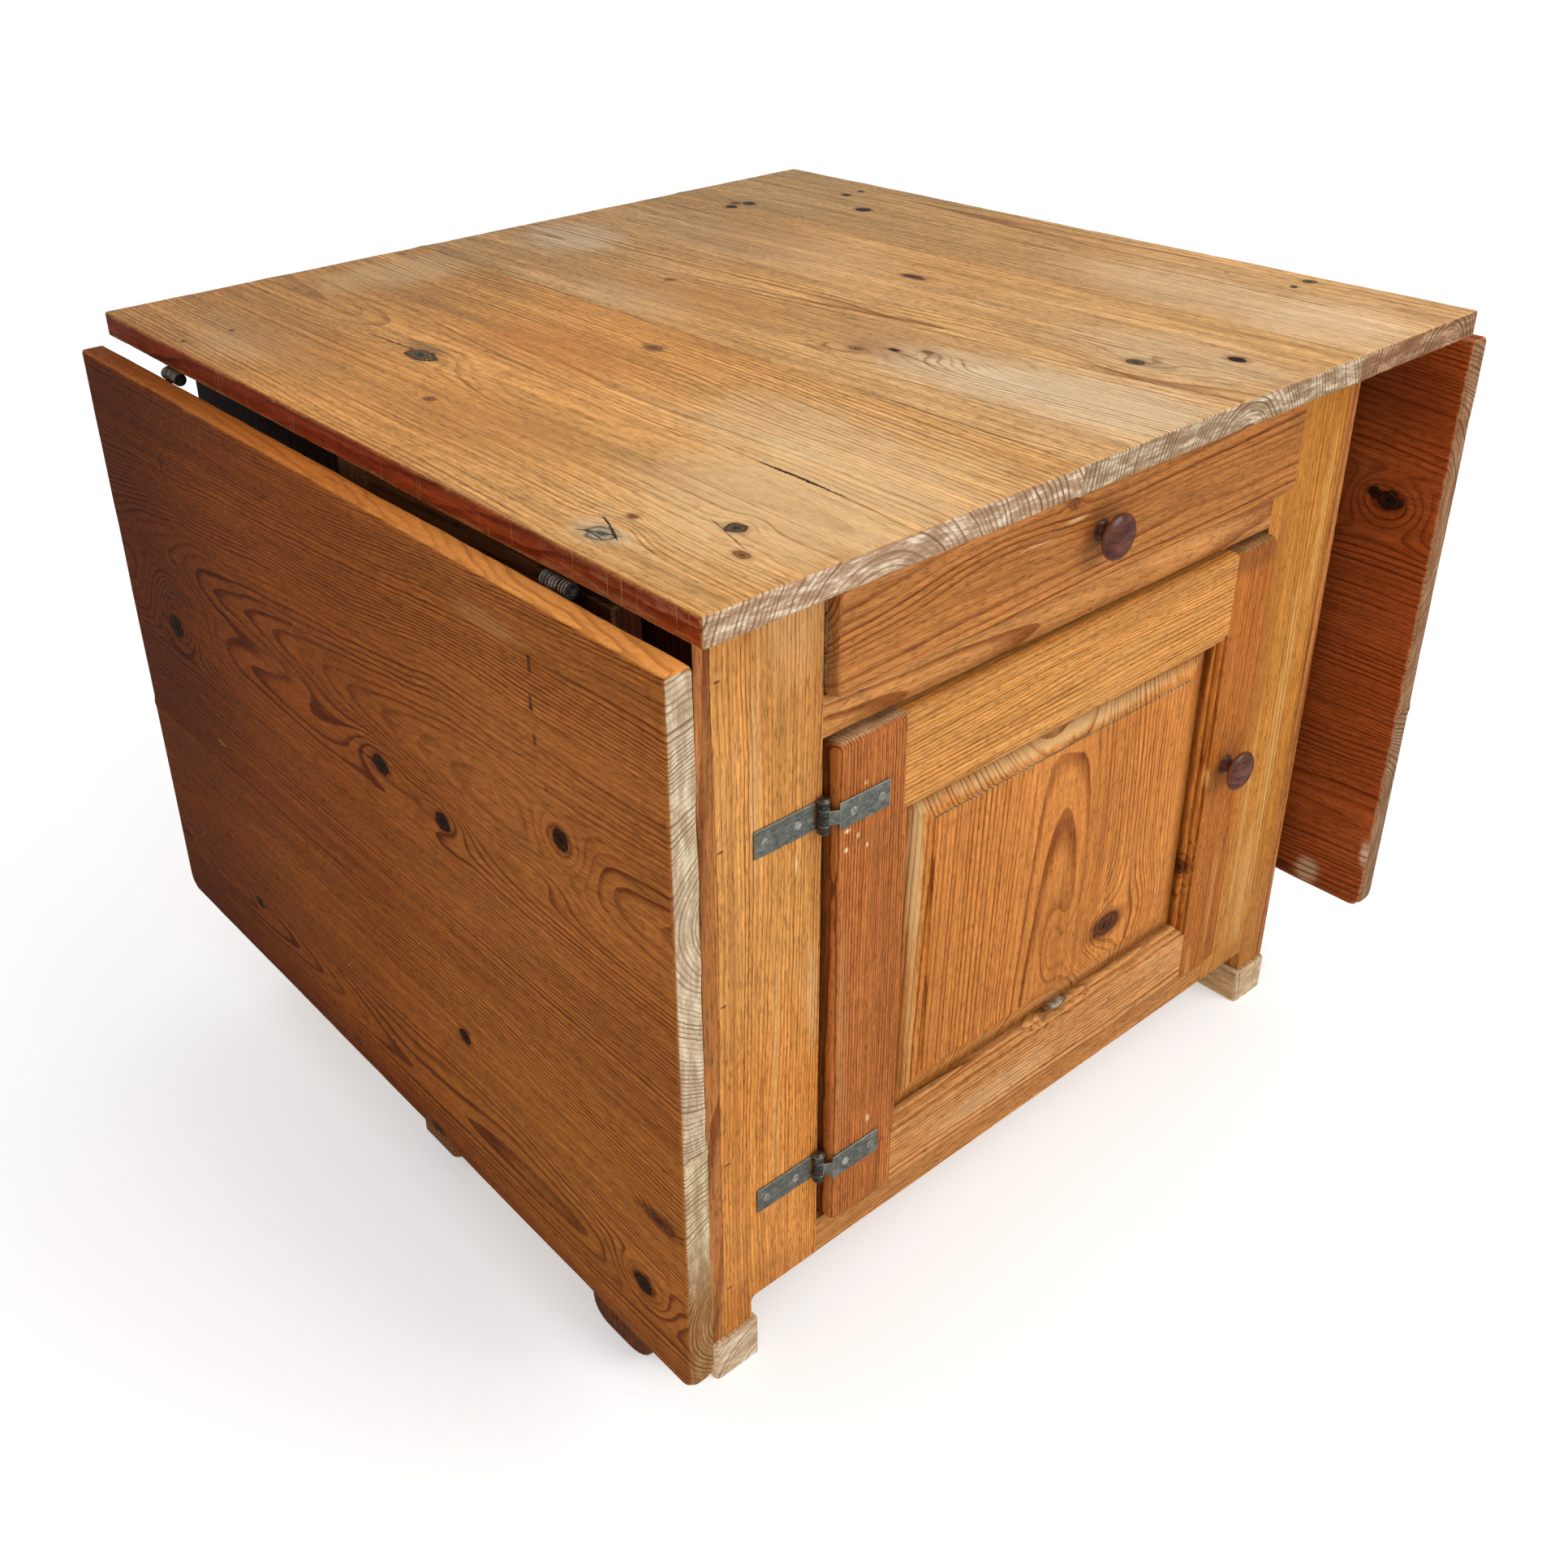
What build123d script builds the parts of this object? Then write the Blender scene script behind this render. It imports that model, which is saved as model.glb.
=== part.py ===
from build123d import *
import os

# Drop leaf table with a cupboard base: a fixed top of three boards, a leaf
# hung on strap hinges at each side, a drawer, a framed and panelled door on
# face hinges, and a pivoting gate leg folded flat under each side overhang.
# Millimetres. X runs to the right of the door side, +Y to the back, +Z up.
# The origin is on the floor, under the middle of the closed table.

# ---- overall ----
height = 756.0            # floor to top surface
top_w = 880.0             # fixed top, side to side
top_d = 874.0             # fixed top, front to back
top_t = 23.0              # top and leaf thickness
seam_1 = -95.0            # joints between the three top boards
seam_2 = 257.0
leaf_len = 618.0          # drop of each leaf
leaf_seam = 379.0         # width of the upper board of each leaf
leaf_gap = 6.5            # leaf stands this far out from and below the top's edge
open_gap = 1.0            # gap between a raised leaf and the top

# ---- cupboard carcass ----
side_out = 392.0          # outer face of each side board
side_t = 14.0
front_y = -367.0          # face of the front frame
back_y = 367.0
frame_t = 22.0
open_x = 275.0            # half width of the drawer and door openings
frame_bottom = 64.0       # underside of the front frame between the feet
foot_in = 349.0           # inner edge of each front foot
skid_h = 40.0
skid_in = 344.0
rail_low = 578.0          # middle rail, between door and drawer
rail_high = 611.5
bottom_rail_top = 102.0
floor_board_t = 14.0
back_t = 14.0

# ---- drawer ----
drawer_proud = 12.0
drawer_front_t = 22.0
drawer_left = -271.5
drawer_right = 272.5
drawer_lip = 287.0        # the front laps over the right stile
drawer_low = 612.5
drawer_high = 730.5
drawer_side_x = 273.5
drawer_side_t = 12.0
drawer_side_low = 612.0
drawer_side_high = 706.0
drawer_back_y = 180.0
drawer_travel = 360.0

# ---- door ----
door_proud = 13.0
door_t = 24.0
door_left = -270.5
door_right = 273.5
door_low = 104.0
door_high = 576.0
door_in_l = -201.0        # flat of the frame ends here, the moulding starts
door_in_r = 212.0
door_in_low = 164.0
door_in_high = 497.0
mould_w = 12.0
mould_d = 11.0

# ---- hardware ----
knuckle_r = 5.4           # leaf hinges
leaf_pin_r = 2.5
arm_l = 78.0
arm_w = 30.0
arm_t = 2.0
strap_h = 24.0            # door hinges
strap_t = 2.0
barrel_r = 5.0
barrel_h = 28.0
door_pin_r = 2.4
hinge_x = -278.5          # door hinge axis
hinge_z = (516.5, 170.0)
run = 0.05                # radial clearance of a pin in its hole

# ---- gate legs ----
gate_out = 428.0          # outer face
gate_in = 404.0
gate_top = 729.5          # top rail; it carries the raised leaf
leg_top = 720.0           # the leg ends below the knuckles that it swings past
gate_low = 3.0
post_y0, post_y1 = -22.0, 23.0
leg_y0, leg_y1 = -332.0, -247.0
pivot_r = 8.0

under = height - top_t
half_w, half_d = top_w / 2, top_d / 2
os.makedirs("parts", exist_ok=True)


def bx(x0, x1, y0, y1, z0, z1):
    return Pos((x0 + x1) / 2, (y0 + y1) / 2, (z0 + z1) / 2) * Box(
        abs(x1 - x0), abs(y1 - y0), abs(z1 - z0))


def cyl(axis, a, b, lo, hi, r):
    """Cylinder along an axis; a, b are the other two coordinates in X, Y, Z order."""
    h = hi - lo
    if axis == "z":
        return Pos(a, b, lo + h / 2) * Cylinder(r, h)
    if axis == "y":
        return Pos(a, lo + h / 2, b) * Rot(90, 0, 0) * Cylinder(r, h)
    return Pos(lo + h / 2, a, b) * Rot(0, 90, 0) * Cylinder(r, h)


def prism_xy(points, z0, z1):
    return extrude(Plane.XY.offset(z0) * make_face(Polyline(*points, close=True)), z1 - z0)


def prism_xz(points, y0, y1):
    """Points are (x, z); the solid runs from y0 to y1."""
    f = make_face(Polyline(*[(x, y0, z) for x, z in points], close=True))
    return extrude(f, y1 - y0, dir=(0, 1, 0))


def prism_yz(points, x0, x1):
    """Points are (y, z); the solid runs from x0 to x1."""
    f = make_face(Polyline(*[(x0, y, z) for y, z in points], close=True))
    return extrude(f, x1 - x0, dir=(1, 0, 0))


def edge_at(solid, axis, **where):
    """Edges parallel to an axis whose centre has the given coordinates."""
    out = []
    for e in solid.edges().filter_by(axis):
        c = e.center()
        if all(abs(getattr(c, k.upper()) - v) < 0.01 for k, v in where.items()):
            out.append(e)
    return out


def save(name, *solids):
    """Write one node, as one solid or as a group of separate solids."""
    if len(solids) == 1:
        obj = solids[0]
        if isinstance(obj, (ShapeList, list)):
            obj = Compound(children=list(obj))
    else:
        obj = Compound(children=[s.solid() for s in solids])
    obj.label = name
    export_step(obj, "parts/" + name + ".step")


def flip(obj):
    return mirror(obj, about=Plane.YZ)


# ---------------------------------------------------------------- fixed top
top_l = bx(-half_w, seam_1, -half_d, half_d, under, height)
top_l = fillet(edge_at(top_l, Axis.Y, x=-half_w), 2.5)
top_m = bx(seam_1, seam_2, -half_d, half_d, under, height)
top_r = bx(seam_2, half_w, -half_d, half_d, under, height)
top_r = fillet(edge_at(top_r, Axis.Y, x=half_w), 2.5)

pivot_x = (gate_out + gate_in) / 2
pivot_y = (post_y0 + post_y1) / 2
top_l -= cyl("z", -pivot_x, pivot_y, under - 1, under + 12.5, pivot_r + run)
top_r -= cyl("z", pivot_x, pivot_y, under - 1, under + 12.5, pivot_r + run)

batten_f = bx(-side_out + side_t, side_out - side_t, -240, -190, under - 16, under)
batten_b = bx(-side_out + side_t, side_out - side_t, 190, 240, under - 16, under)

# ------------------------------------------------------ leaf hinges (4 sets)
# The hinge axis lies below the top's edge so that a raised leaf comes level
# with the top and stands open_gap from it.
axis_x = half_w + 0.5 * open_gap
axis_z = under - leaf_gap + 0.5 * open_gap
leaf_in = half_w + leaf_gap            # inner face of a hanging leaf
leaf_top = under - leaf_gap            # its upper edge
hinge_y = (-293.0, 293.0)
k_end = 9.6                            # length of each outer knuckle
k_gap = 0.4


def csk(axis, sign, a, b, face, depth_plate, r_head=4.2, r_shank=2.1, length=15.0):
    """Countersunk screw whose head is level with a face. The screw goes from
    face in the direction sign along the axis."""
    cone = Cone(r_head, r_shank, 2.4)          # base r_head at -z, top at +z
    body = Pos(0, 0, 1.2) * cone + Pos(0, 0, 2.4 + (length - 2.4) / 2) * Cylinder(r_shank, length - 2.4)
    slot = Pos(0, 0, 0.3) * Box(2 * r_head + 2, 1.1, 1.2)
    hole = body
    body = body - slot
    if axis == "x":
        rot = Rot(0, 90, 0) if sign > 0 else Rot(0, -90, 0)
        loc = Pos(face, a, b) * rot
    elif axis == "y":
        rot = Rot(-90, 0, 0) if sign > 0 else Rot(90, 0, 0)
        loc = Pos(a, face, b) * rot
    else:
        rot = Rot(0, 0, 0) if sign > 0 else Rot(180, 0, 0)
        loc = Pos(a, b, face) * rot
    return loc * body, loc * hole


top_arms, leaf_arms, leaf_pins, top_arm_screws, leaf_arm_screws = [], [], [], [], []
top_screw_holes, leaf_screw_holes = [], []
for yc in hinge_y:
    y0, y1 = yc - arm_w / 2, yc + arm_w / 2
    m0, m1 = y0 + k_end, y1 - k_end
    # left side; the right side is the mirror image
    arm = bx(-axis_x, -axis_x + arm_l, y0, y1, under - arm_t, under)
    arm -= bx(-axis_x - 1, -axis_x + knuckle_r + 0.5, m0, m1, under - 8, under + 1)
    k1 = cyl("y", -axis_x, axis_z, y0, m0, knuckle_r)
    k2 = cyl("y", -axis_x, axis_z, m1, y1, knuckle_r)
    arm = arm + k1 + k2
    arm -= cyl("y", -axis_x, axis_z, y0 - 1, y1 + 1, leaf_pin_r)
    for sx in (-421.0, -367.0):
        s, h = csk("z", 1, sx, yc, under - arm_t, arm_t)
        arm -= h
        top_arm_screws.append(s)
        top_screw_holes.append(h)
    top_arms.append(arm)

    la = bx(-leaf_in, -leaf_in + arm_t, y0, y1, axis_z - arm_l, axis_z - knuckle_r - 0.5)
    la += bx(-leaf_in, -leaf_in + arm_t, m0 + k_gap, m1 - k_gap, axis_z - knuckle_r - 1, axis_z)
    la += cyl("y", -axis_x, axis_z, m0 + k_gap, m1 - k_gap, knuckle_r)
    la -= cyl("y", -axis_x, axis_z, y0 - 1, y1 + 1, leaf_pin_r + run)
    for sz in (701.0, 679.0, 656.0):
        s, h = csk("x", -1, yc, sz, -leaf_in + arm_t, arm_t)
        la -= h
        leaf_arm_screws.append(s)
        leaf_screw_holes.append(h)
    leaf_arms.append(la)
    leaf_pins.append(cyl("y", -axis_x, axis_z, y0 - 1.5, y1 + 1.5, leaf_pin_r))

for h in top_screw_holes:
    top_l -= h
    top_r -= flip(h)

save("top_board_left", top_l)
save("top_board_middle", top_m)
save("top_board_right", top_r)
save("top_batten_front", batten_f)
save("top_batten_back", batten_b)
save("leaf_hinge_left_top_arms", *top_arms)
save("leaf_hinge_right_top_arms", *[flip(a) for a in top_arms])
save("leaf_hinge_pins", *(leaf_pins + [flip(p) for p in leaf_pins]))
save("top_arm_screws", *(top_arm_screws + [flip(s) for s in top_arm_screws]))

# --------------------------------------------------------------- the leaves
lx0, lx1 = -leaf_in - top_t, -leaf_in
leaf_bottom = leaf_top - leaf_len
leaf_up = bx(lx0, lx1, -half_d, half_d, leaf_top - leaf_seam, leaf_top)
leaf_up = fillet(edge_at(leaf_up, Axis.Y, z=leaf_top), 3.0)
leaf_dn = bx(lx0, lx1, -half_d, half_d, leaf_bottom, leaf_top - leaf_seam)
leaf_dn = fillet(edge_at(leaf_dn, Axis.X, z=leaf_bottom), 14.0)
leaf_dn = fillet(leaf_dn.edges().filter_by(Axis.Y).sort_by(Axis.Z)[:2], 8.0)
for h in leaf_screw_holes:
    leaf_up -= h
save("left_leaf_board_upper", leaf_up)
save("left_leaf_board_lower", leaf_dn)
save("left_leaf_hinge_arms", *leaf_arms)
save("left_leaf_screws", *leaf_arm_screws)
save("right_leaf_board_upper", flip(leaf_up))
save("right_leaf_board_lower", flip(leaf_dn))
save("right_leaf_hinge_arms", *[flip(a) for a in leaf_arms])
save("right_leaf_screws", *[flip(s) for s in leaf_arm_screws])

# ------------------------------------------------------------------ carcass
side = bx(-side_out, -side_out + side_t, front_y, back_y, skid_h, under)
for yc in hinge_y:      # notch that clears the hinge arms and screw heads
    side -= bx(-side_out - 1, -side_out + side_t + 1, yc - arm_w / 2, yc + arm_w / 2,
               under - arm_t, under + 1)
save("side_board_left", side)
save("side_board_right", flip(side))

in_x = side_out - side_t
stile_pts = [(-in_x, skid_h), (-foot_in, skid_h), (-foot_in, frame_bottom - 5),
             (-foot_in + 1.5, frame_bottom - 1.5), (-foot_in + 5, frame_bottom),
             (-open_x, frame_bottom), (-open_x, under), (-in_x, under)]
stile = prism_xz(stile_pts, front_y, front_y + frame_t)

hinge_y0 = front_y - barrel_r - 0.5      # door hinge axis, in front of the frame's face
frame_screws, frame_screw_holes = [], []
door_straps, frame_plates, door_pins = [], [], []
door_screws, door_screw_holes = [], []
face = front_y - door_proud              # door face
for zc in hinge_z:
    z0, z1 = zc - strap_h / 2, zc + strap_h / 2
    b0, b1 = zc - barrel_h / 2, zc + barrel_h / 2
    m0, m1 = zc - 6.5, zc + 6.5
    g = 0.4
    plate = bx(-342.0, hinge_x, front_y - strap_t, front_y, z0, z1)
    plate -= bx(hinge_x - barrel_r - 0.5, hinge_x + 10, front_y - 20, front_y + 1, m0 - g, m1 + g)
    plate += cyl("z", hinge_x, hinge_y0, b0, m0 - g, barrel_r)
    plate += cyl("z", hinge_x, hinge_y0, m1 + g, b1, barrel_r)
    plate -= cyl("z", hinge_x, hinge_y0, b0 - 1, b1 + 1, door_pin_r)
    for sx in (-333.0, -301.0):
        s, h = csk("y", 1, sx, zc, front_y - strap_t, strap_t, r_head=3.6, r_shank=1.9, length=16)
        plate -= h
        frame_screws.append(s)
        frame_screw_holes.append(h)
    frame_plates.append(plate)

    strap = bx(-266.0, -219.0, face - strap_t, face, z0, z1)
    crank = prism_xy([(hinge_x - 0.5, face + 2.7), (-266.0, face - strap_t), (-266.0, face),
                      (-268.6, face), (-274.2, face + 4.6)], z0, z1)
    crank -= bx(hinge_x - 6, hinge_x + barrel_r + 0.7, face - 10, face + 12, z0 - 1, m0)
    crank -= bx(hinge_x - 6, hinge_x + barrel_r + 0.7, face - 10, face + 12, m1, z1 + 1)
    strap = strap + crank + cyl("z", hinge_x, hinge_y0, m0, m1, barrel_r)
    strap -= cyl("z", hinge_x, hinge_y0, b0 - 1, b1 + 1, door_pin_r + run)
    for sx in (-257.0, -228.0):
        s, h = csk("y", 1, sx, zc, face - strap_t, strap_t, r_head=3.6, r_shank=1.9, length=16)
        strap -= h
        door_screws.append(s)
        door_screw_holes.append(h)
    door_straps.append(strap)
    pin = cyl("z", hinge_x, hinge_y0, b0 - 1.0, b1, door_pin_r)
    pin += Pos(hinge_x, hinge_y0, b1 + 0.9) * Cone(4.4, 2.6, 1.8)
    door_pins.append(pin)

stile_l = stile
for h in frame_screw_holes:
    stile_l = stile_l - h
save("front_stile_left", stile_l)
save("front_stile_right", flip(stile))
rail = bx(-open_x, open_x, front_y, front_y + frame_t, rail_low, rail_high)
rail = fillet(edge_at(rail, Axis.X, y=front_y, z=rail_high), 3.0)
save("front_rail_middle", rail)
save("front_rail_bottom", bx(-open_x, open_x, front_y, front_y + frame_t, frame_bottom, bottom_rail_top))

inner_back = back_y - back_t
save("back_board_left", bx(-in_x, 0, inner_back, back_y, frame_bottom, under))
save("back_board_right", bx(0, in_x, inner_back, back_y, frame_bottom, under))
save("cupboard_floor", bx(-in_x, in_x, front_y + frame_t, inner_back,
                          bottom_rail_top - floor_board_t, bottom_rail_top))

# drawer bearers: a ledge under each drawer side with a guide strip beside it
bearer = prism_xz([(-255, rail_high - 21.5), (-255, rail_high), (-open_x, rail_high),
                   (-open_x, rail_high + 30), (-303, rail_high + 30), (-303, rail_high - 21.5)],
                  front_y + frame_t, inner_back)
save("drawer_bearer_left", bearer)
save("drawer_bearer_right", flip(bearer))
save("drawer_bearer_rail", bx(-in_x, in_x, inner_back - 30, inner_back,
                              rail_high - 21.5 - 24, rail_high - 21.5))

skid = bx(-side_out, -skid_in, front_y - 5, back_y + 5, 0, skid_h)
skid = fillet(skid.edges().filter_by(Axis.Z), 4.0)
skid = fillet(skid.faces().sort_by(Axis.Z)[-1].edges(), 2.0)
save("foot_skid_left", skid)
save("foot_skid_right", flip(skid))

save("door_hinge_upper_plate", frame_plates[0])
save("door_hinge_lower_plate", frame_plates[1])
save("door_hinge_pins", *door_pins)
save("door_hinge_plate_screws", *frame_screws)

# ------------------------------------------------------------------- drawer
dfy = front_y - drawer_proud
dby = dfy + drawer_front_t
dsx = drawer_side_x
front = bx(drawer_left, drawer_lip, dfy, dby, drawer_low, drawer_high)
front = fillet(edge_at(front, Axis.X, y=dfy, z=drawer_low), 4.5)
front -= bx(drawer_right, drawer_lip + 1, front_y - 0.5, dby + 1, drawer_low - 1, drawer_high + 1)
bottom_panel = bx(-dsx + 7, dsx - 7, dby - 6, drawer_back_y, 618, 624)


def tails(y_root, y_tip, widths, z_list):
    """Dovetail outlines in (y, z): narrow at the root, wide at the tip."""
    out = []
    for zc in z_list:
        a, b = widths
        out.append([(y_root, zc - a), (y_tip, zc - b), (y_tip, zc + b), (y_root, zc + a)])
    return out


d_side = bx(-dsx, -dsx + drawer_side_t, dby, drawer_back_y, drawer_side_low, drawer_side_high)
tail_front = []
for pts in tails(dby, dby - 9.0, (9.0, 11.5), (632.0, 660.0, 688.0)):
    tail_front.append(prism_yz(pts, drawer_left, -dsx + drawer_side_t))
for t in tail_front:
    d_side += t
# pins of the back pass through the sides
d_back = bx(-dsx + drawer_side_t, dsx - drawer_side_t, drawer_back_y - 12, drawer_back_y, 624, 700)
for zc in (640.0, 662.0, 684.0):
    pin = prism_yz([(drawer_back_y - 12, zc - 4), (drawer_back_y, zc - 4),
                    (drawer_back_y, zc + 4), (drawer_back_y - 12, zc + 4)], -dsx, -dsx + drawer_side_t)
    d_side -= pin
    d_back += pin + flip(pin)
d_side -= bottom_panel
front -= bottom_panel
for t in tail_front:
    front -= t
    front -= flip(t)
save("drawer_side_left", d_side)
save("drawer_side_right", flip(d_side))
save("drawer_back", d_back)
save("drawer_bottom", bottom_panel)


def knob(x, face_y, z, pin_len=18.0):
    """Turned mushroom knob: domed disc, waisted stem, collar and round tenon."""
    pts = [(0.0, 24.0), (5.0, 23.7), (10.0, 22.7), (15.0, 20.8), (18.4, 18.6), (19.6, 16.6),
           (18.6, 14.8), (14.0, 12.9), (9.0, 11.2), (7.2, 9.0), (6.6, 6.0), (7.2, 3.0),
           (9.0, 1.2), (9.4, 0.0), (5.0, 0.0), (5.0, -pin_len), (0.0, -pin_len)]
    prof = make_face(Polyline(*[(r, 0, h) for r, h in pts], close=True))
    k = revolve(prof, Axis.Z, 360)
    # the knob's axis is turned from +Z to -Y
    return Pos(x, face_y, z) * Rot(90, 0, 0) * k


kx, kz = 11.0, 657.5
front -= cyl("y", kx, kz, dfy - 1, dfy + 18.0, 5.0)
save("drawer_front", front)
save("drawer_knob", knob(kx, dfy, kz))

# --------------------------------------------------------------------- door
dy0, dy1 = face, face + door_t
sl, sr = door_in_l + mould_w, door_in_r - mould_w          # sight lines
sb, st = door_in_low + mould_w, door_in_high - mould_w
tongue_y0, tongue_y1 = -366.5, -360.0
field = (-161.0, 170.0, 207.0, 465.0)

# raised and fielded panel: tongue, bevel and raised field
slab = bx(sl - 8, sr + 8, tongue_y0, tongue_y1, sb - 8, st + 8)


def rect_face(x0, x1, z0, z1, y):
    return make_face(Polyline((x0, y, z0), (x1, y, z0), (x1, y, z1), (x0, y, z1), close=True))


bevel = loft([rect_face(sl, sr, sb, st, tongue_y0), rect_face(field[0], field[1], field[2], field[3], -374.8)])
raised = bx(field[0], field[1], -377.0, -374.8, field[2], field[3])
panel = slab + bevel + raised
save("door_panel", panel)

# moulding outline: u inward from the flat of the frame, d below the face
mould = [(0.0, 1.6), (0.25, 4.0), (1.1, 2.5), (2.1, 1.85), (3.2, 1.6), (4.3, 1.85), (5.3, 2.5),
         (6.05, 3.7), (6.2, 4.9), (6.2, 6.9), (6.9, 6.2), (8.0, 5.9), (9.2, 6.1), (10.4, 6.9),
         (11.3, 8.2), (11.6, 9.4), (12.0, 11.0)]


def mould_cutter_z(x_flat, sign, z0, z1):
    """Cutter for a vertical moulding that starts at x_flat and runs to sign."""
    pts = [(x_flat, dy0 - 2)] + [(x_flat + sign * u, dy0 + d) for u, d in mould] + [
        (x_flat + sign * (mould_w + 1), dy0 + mould_d), (x_flat + sign * (mould_w + 1), dy0 - 2)]
    return prism_xy(pts, z0, z1)


def mould_cutter_x(z_flat, sign, x0, x1):
    pts = [(dy0 - 2, z_flat)] + [(dy0 + d, z_flat + sign * u) for u, d in mould] + [
        (dy0 + mould_d, z_flat + sign * (mould_w + 1)), (dy0 - 2, z_flat + sign * (mould_w + 1))]
    return prism_yz(pts, x0, x1)


def door_stile(x_out, x_flat, sign):
    """sign is the way from the outer edge to the panel."""
    b = bx(x_out, x_flat, dy0, dy1, door_low, door_high)
    corner = edge_at(b, Axis.Y, x=x_out)
    b = fillet(corner, 9.0)
    front_edges = [e for e in b.faces().sort_by(Axis.Y)[0].edges()
                   if abs(e.center().X - x_flat) > 0.5]
    b = fillet(front_edges, 6.0)
    strip = prism_xz([(x_flat, door_in_low), (x_flat + sign * mould_w, door_in_low + mould_w),
                      (x_flat + sign * mould_w, door_in_high - mould_w), (x_flat, door_in_high)],
                     dy0, dy1)
    strip -= mould_cutter_z(x_flat, sign, door_in_low - 1, door_in_high + 1)
    return b + strip - slab


def door_rail(z_out, z_flat, sign):
    b = bx(door_in_l, door_in_r, dy0, dy1, z_out, z_flat)
    b = fillet(edge_at(b, Axis.X, y=dy0, z=z_out), 6.0)
    strip = prism_xz([(door_in_l, z_flat), (door_in_l + mould_w, z_flat + sign * mould_w),
                      (door_in_r - mould_w, z_flat + sign * mould_w), (door_in_r, z_flat)],
                     dy0, dy1)
    strip -= mould_cutter_x(z_flat, sign, door_in_l - 1, door_in_r + 1)
    return b + strip - slab


stile_dl = door_stile(door_left, door_in_l, 1)
stile_dr = door_stile(door_right, door_in_r, -1)
rail_dt = door_rail(door_high, door_in_high, -1)
rail_db = door_rail(door_low, door_in_low, 1)
for z0, z1, which in ((507.0, 564.0, "t"), (116.0, 154.0, "b")):
    ten_l = bx(door_in_l - 42, door_in_l, -373.0, -363.0, z0, z1)
    ten_r = bx(door_in_r, door_in_r + 40, -373.0, -363.0, z0, z1)
    stile_dl -= ten_l
    stile_dr -= ten_r
    if which == "t":
        rail_dt = rail_dt + ten_l + ten_r
    else:
        rail_db = rail_db + ten_l + ten_r
for h in door_screw_holes:
    stile_dl -= h
    rail_dt -= h
dkx, dkz = 239.0, 351.0
stile_dr -= cyl("y", dkx, dkz, face - 1, face + 18.0, 5.0)
save("door_stile_left", stile_dl)
save("door_stile_right", stile_dr)
save("door_rail_top", rail_dt)
save("door_rail_bottom", rail_db)
save("door_knob", knob(dkx, face, dkz))
save("door_hinge_upper_strap", door_straps[0])
save("door_hinge_lower_strap", door_straps[1])
save("door_strap_screws", *door_screws)

# --------------------------------------------------------------- gate legs
post = bx(-gate_out, -gate_in, post_y0, post_y1, 45.5, gate_top)
post = fillet(post.edges().filter_by(Axis.Z), 3.0)
post += cyl("z", -pivot_x, pivot_y, gate_top, under + 11.5, pivot_r)
post += cyl("z", -pivot_x, pivot_y, 22.0, 45.5, pivot_r)
leg = bx(-gate_out, -gate_in, leg_y0, leg_y1, gate_low, leg_top)
leg = fillet(edge_at(leg, Axis.X, y=leg_y0, z=gate_low), 34.0)
leg = fillet(edge_at(leg, Axis.X, y=leg_y1, z=gate_low), 20.0)
rails = []
for z0, z1, t_high in ((664.0, gate_top, 709.0), (150.0, 205.0, 197.0)):
    r = bx(-gate_out + 2, -gate_in - 2, leg_y1, post_y0, z0, z1)
    t1 = bx(-pivot_x - 4, -pivot_x + 4, leg_y1 - 40, leg_y1, z0 + 8, t_high)
    t2 = bx(-pivot_x - 4, -pivot_x + 4, post_y0, post_y0 + 12, z0 + 8, t_high)
    leg -= t1
    post -= t2
    rails.append(r + t1 + t2)
block = bx(-430.0, -side_out, -30, 31, 20, 45)
block = fillet(edge_at(block, Axis.Z, x=-430.0), 8.0)
block -= cyl("z", -pivot_x, pivot_y, 19, 46, pivot_r + run)
save("gate_left_post", post)
save("gate_left_leg", leg)
save("gate_left_rail_top", rails[0])
save("gate_left_rail_bottom", rails[1])
save("gate_right_post", flip(post))
save("gate_right_leg", flip(leg))
save("gate_right_rail_top", flip(rails[0]))
save("gate_right_rail_bottom", flip(rails[1]))
save("gate_pivot_block_left", block)
save("gate_pivot_block_right", flip(block))
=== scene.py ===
import math

import bpy
import numpy as np
from mathutils import Matrix, Vector


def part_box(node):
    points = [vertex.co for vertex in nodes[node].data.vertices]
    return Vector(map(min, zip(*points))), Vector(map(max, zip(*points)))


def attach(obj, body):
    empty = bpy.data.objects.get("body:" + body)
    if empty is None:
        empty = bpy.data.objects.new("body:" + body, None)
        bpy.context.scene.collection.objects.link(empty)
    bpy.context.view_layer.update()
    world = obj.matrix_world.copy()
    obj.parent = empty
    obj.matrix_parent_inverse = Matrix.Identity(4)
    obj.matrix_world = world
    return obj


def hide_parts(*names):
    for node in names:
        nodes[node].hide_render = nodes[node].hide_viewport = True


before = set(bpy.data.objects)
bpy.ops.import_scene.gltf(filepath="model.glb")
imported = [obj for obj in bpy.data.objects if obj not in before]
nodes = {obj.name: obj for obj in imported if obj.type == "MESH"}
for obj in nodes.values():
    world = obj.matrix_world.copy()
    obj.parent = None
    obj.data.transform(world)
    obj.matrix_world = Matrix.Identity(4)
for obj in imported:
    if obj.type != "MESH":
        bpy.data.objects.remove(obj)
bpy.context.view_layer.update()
MM = 0.001


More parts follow.
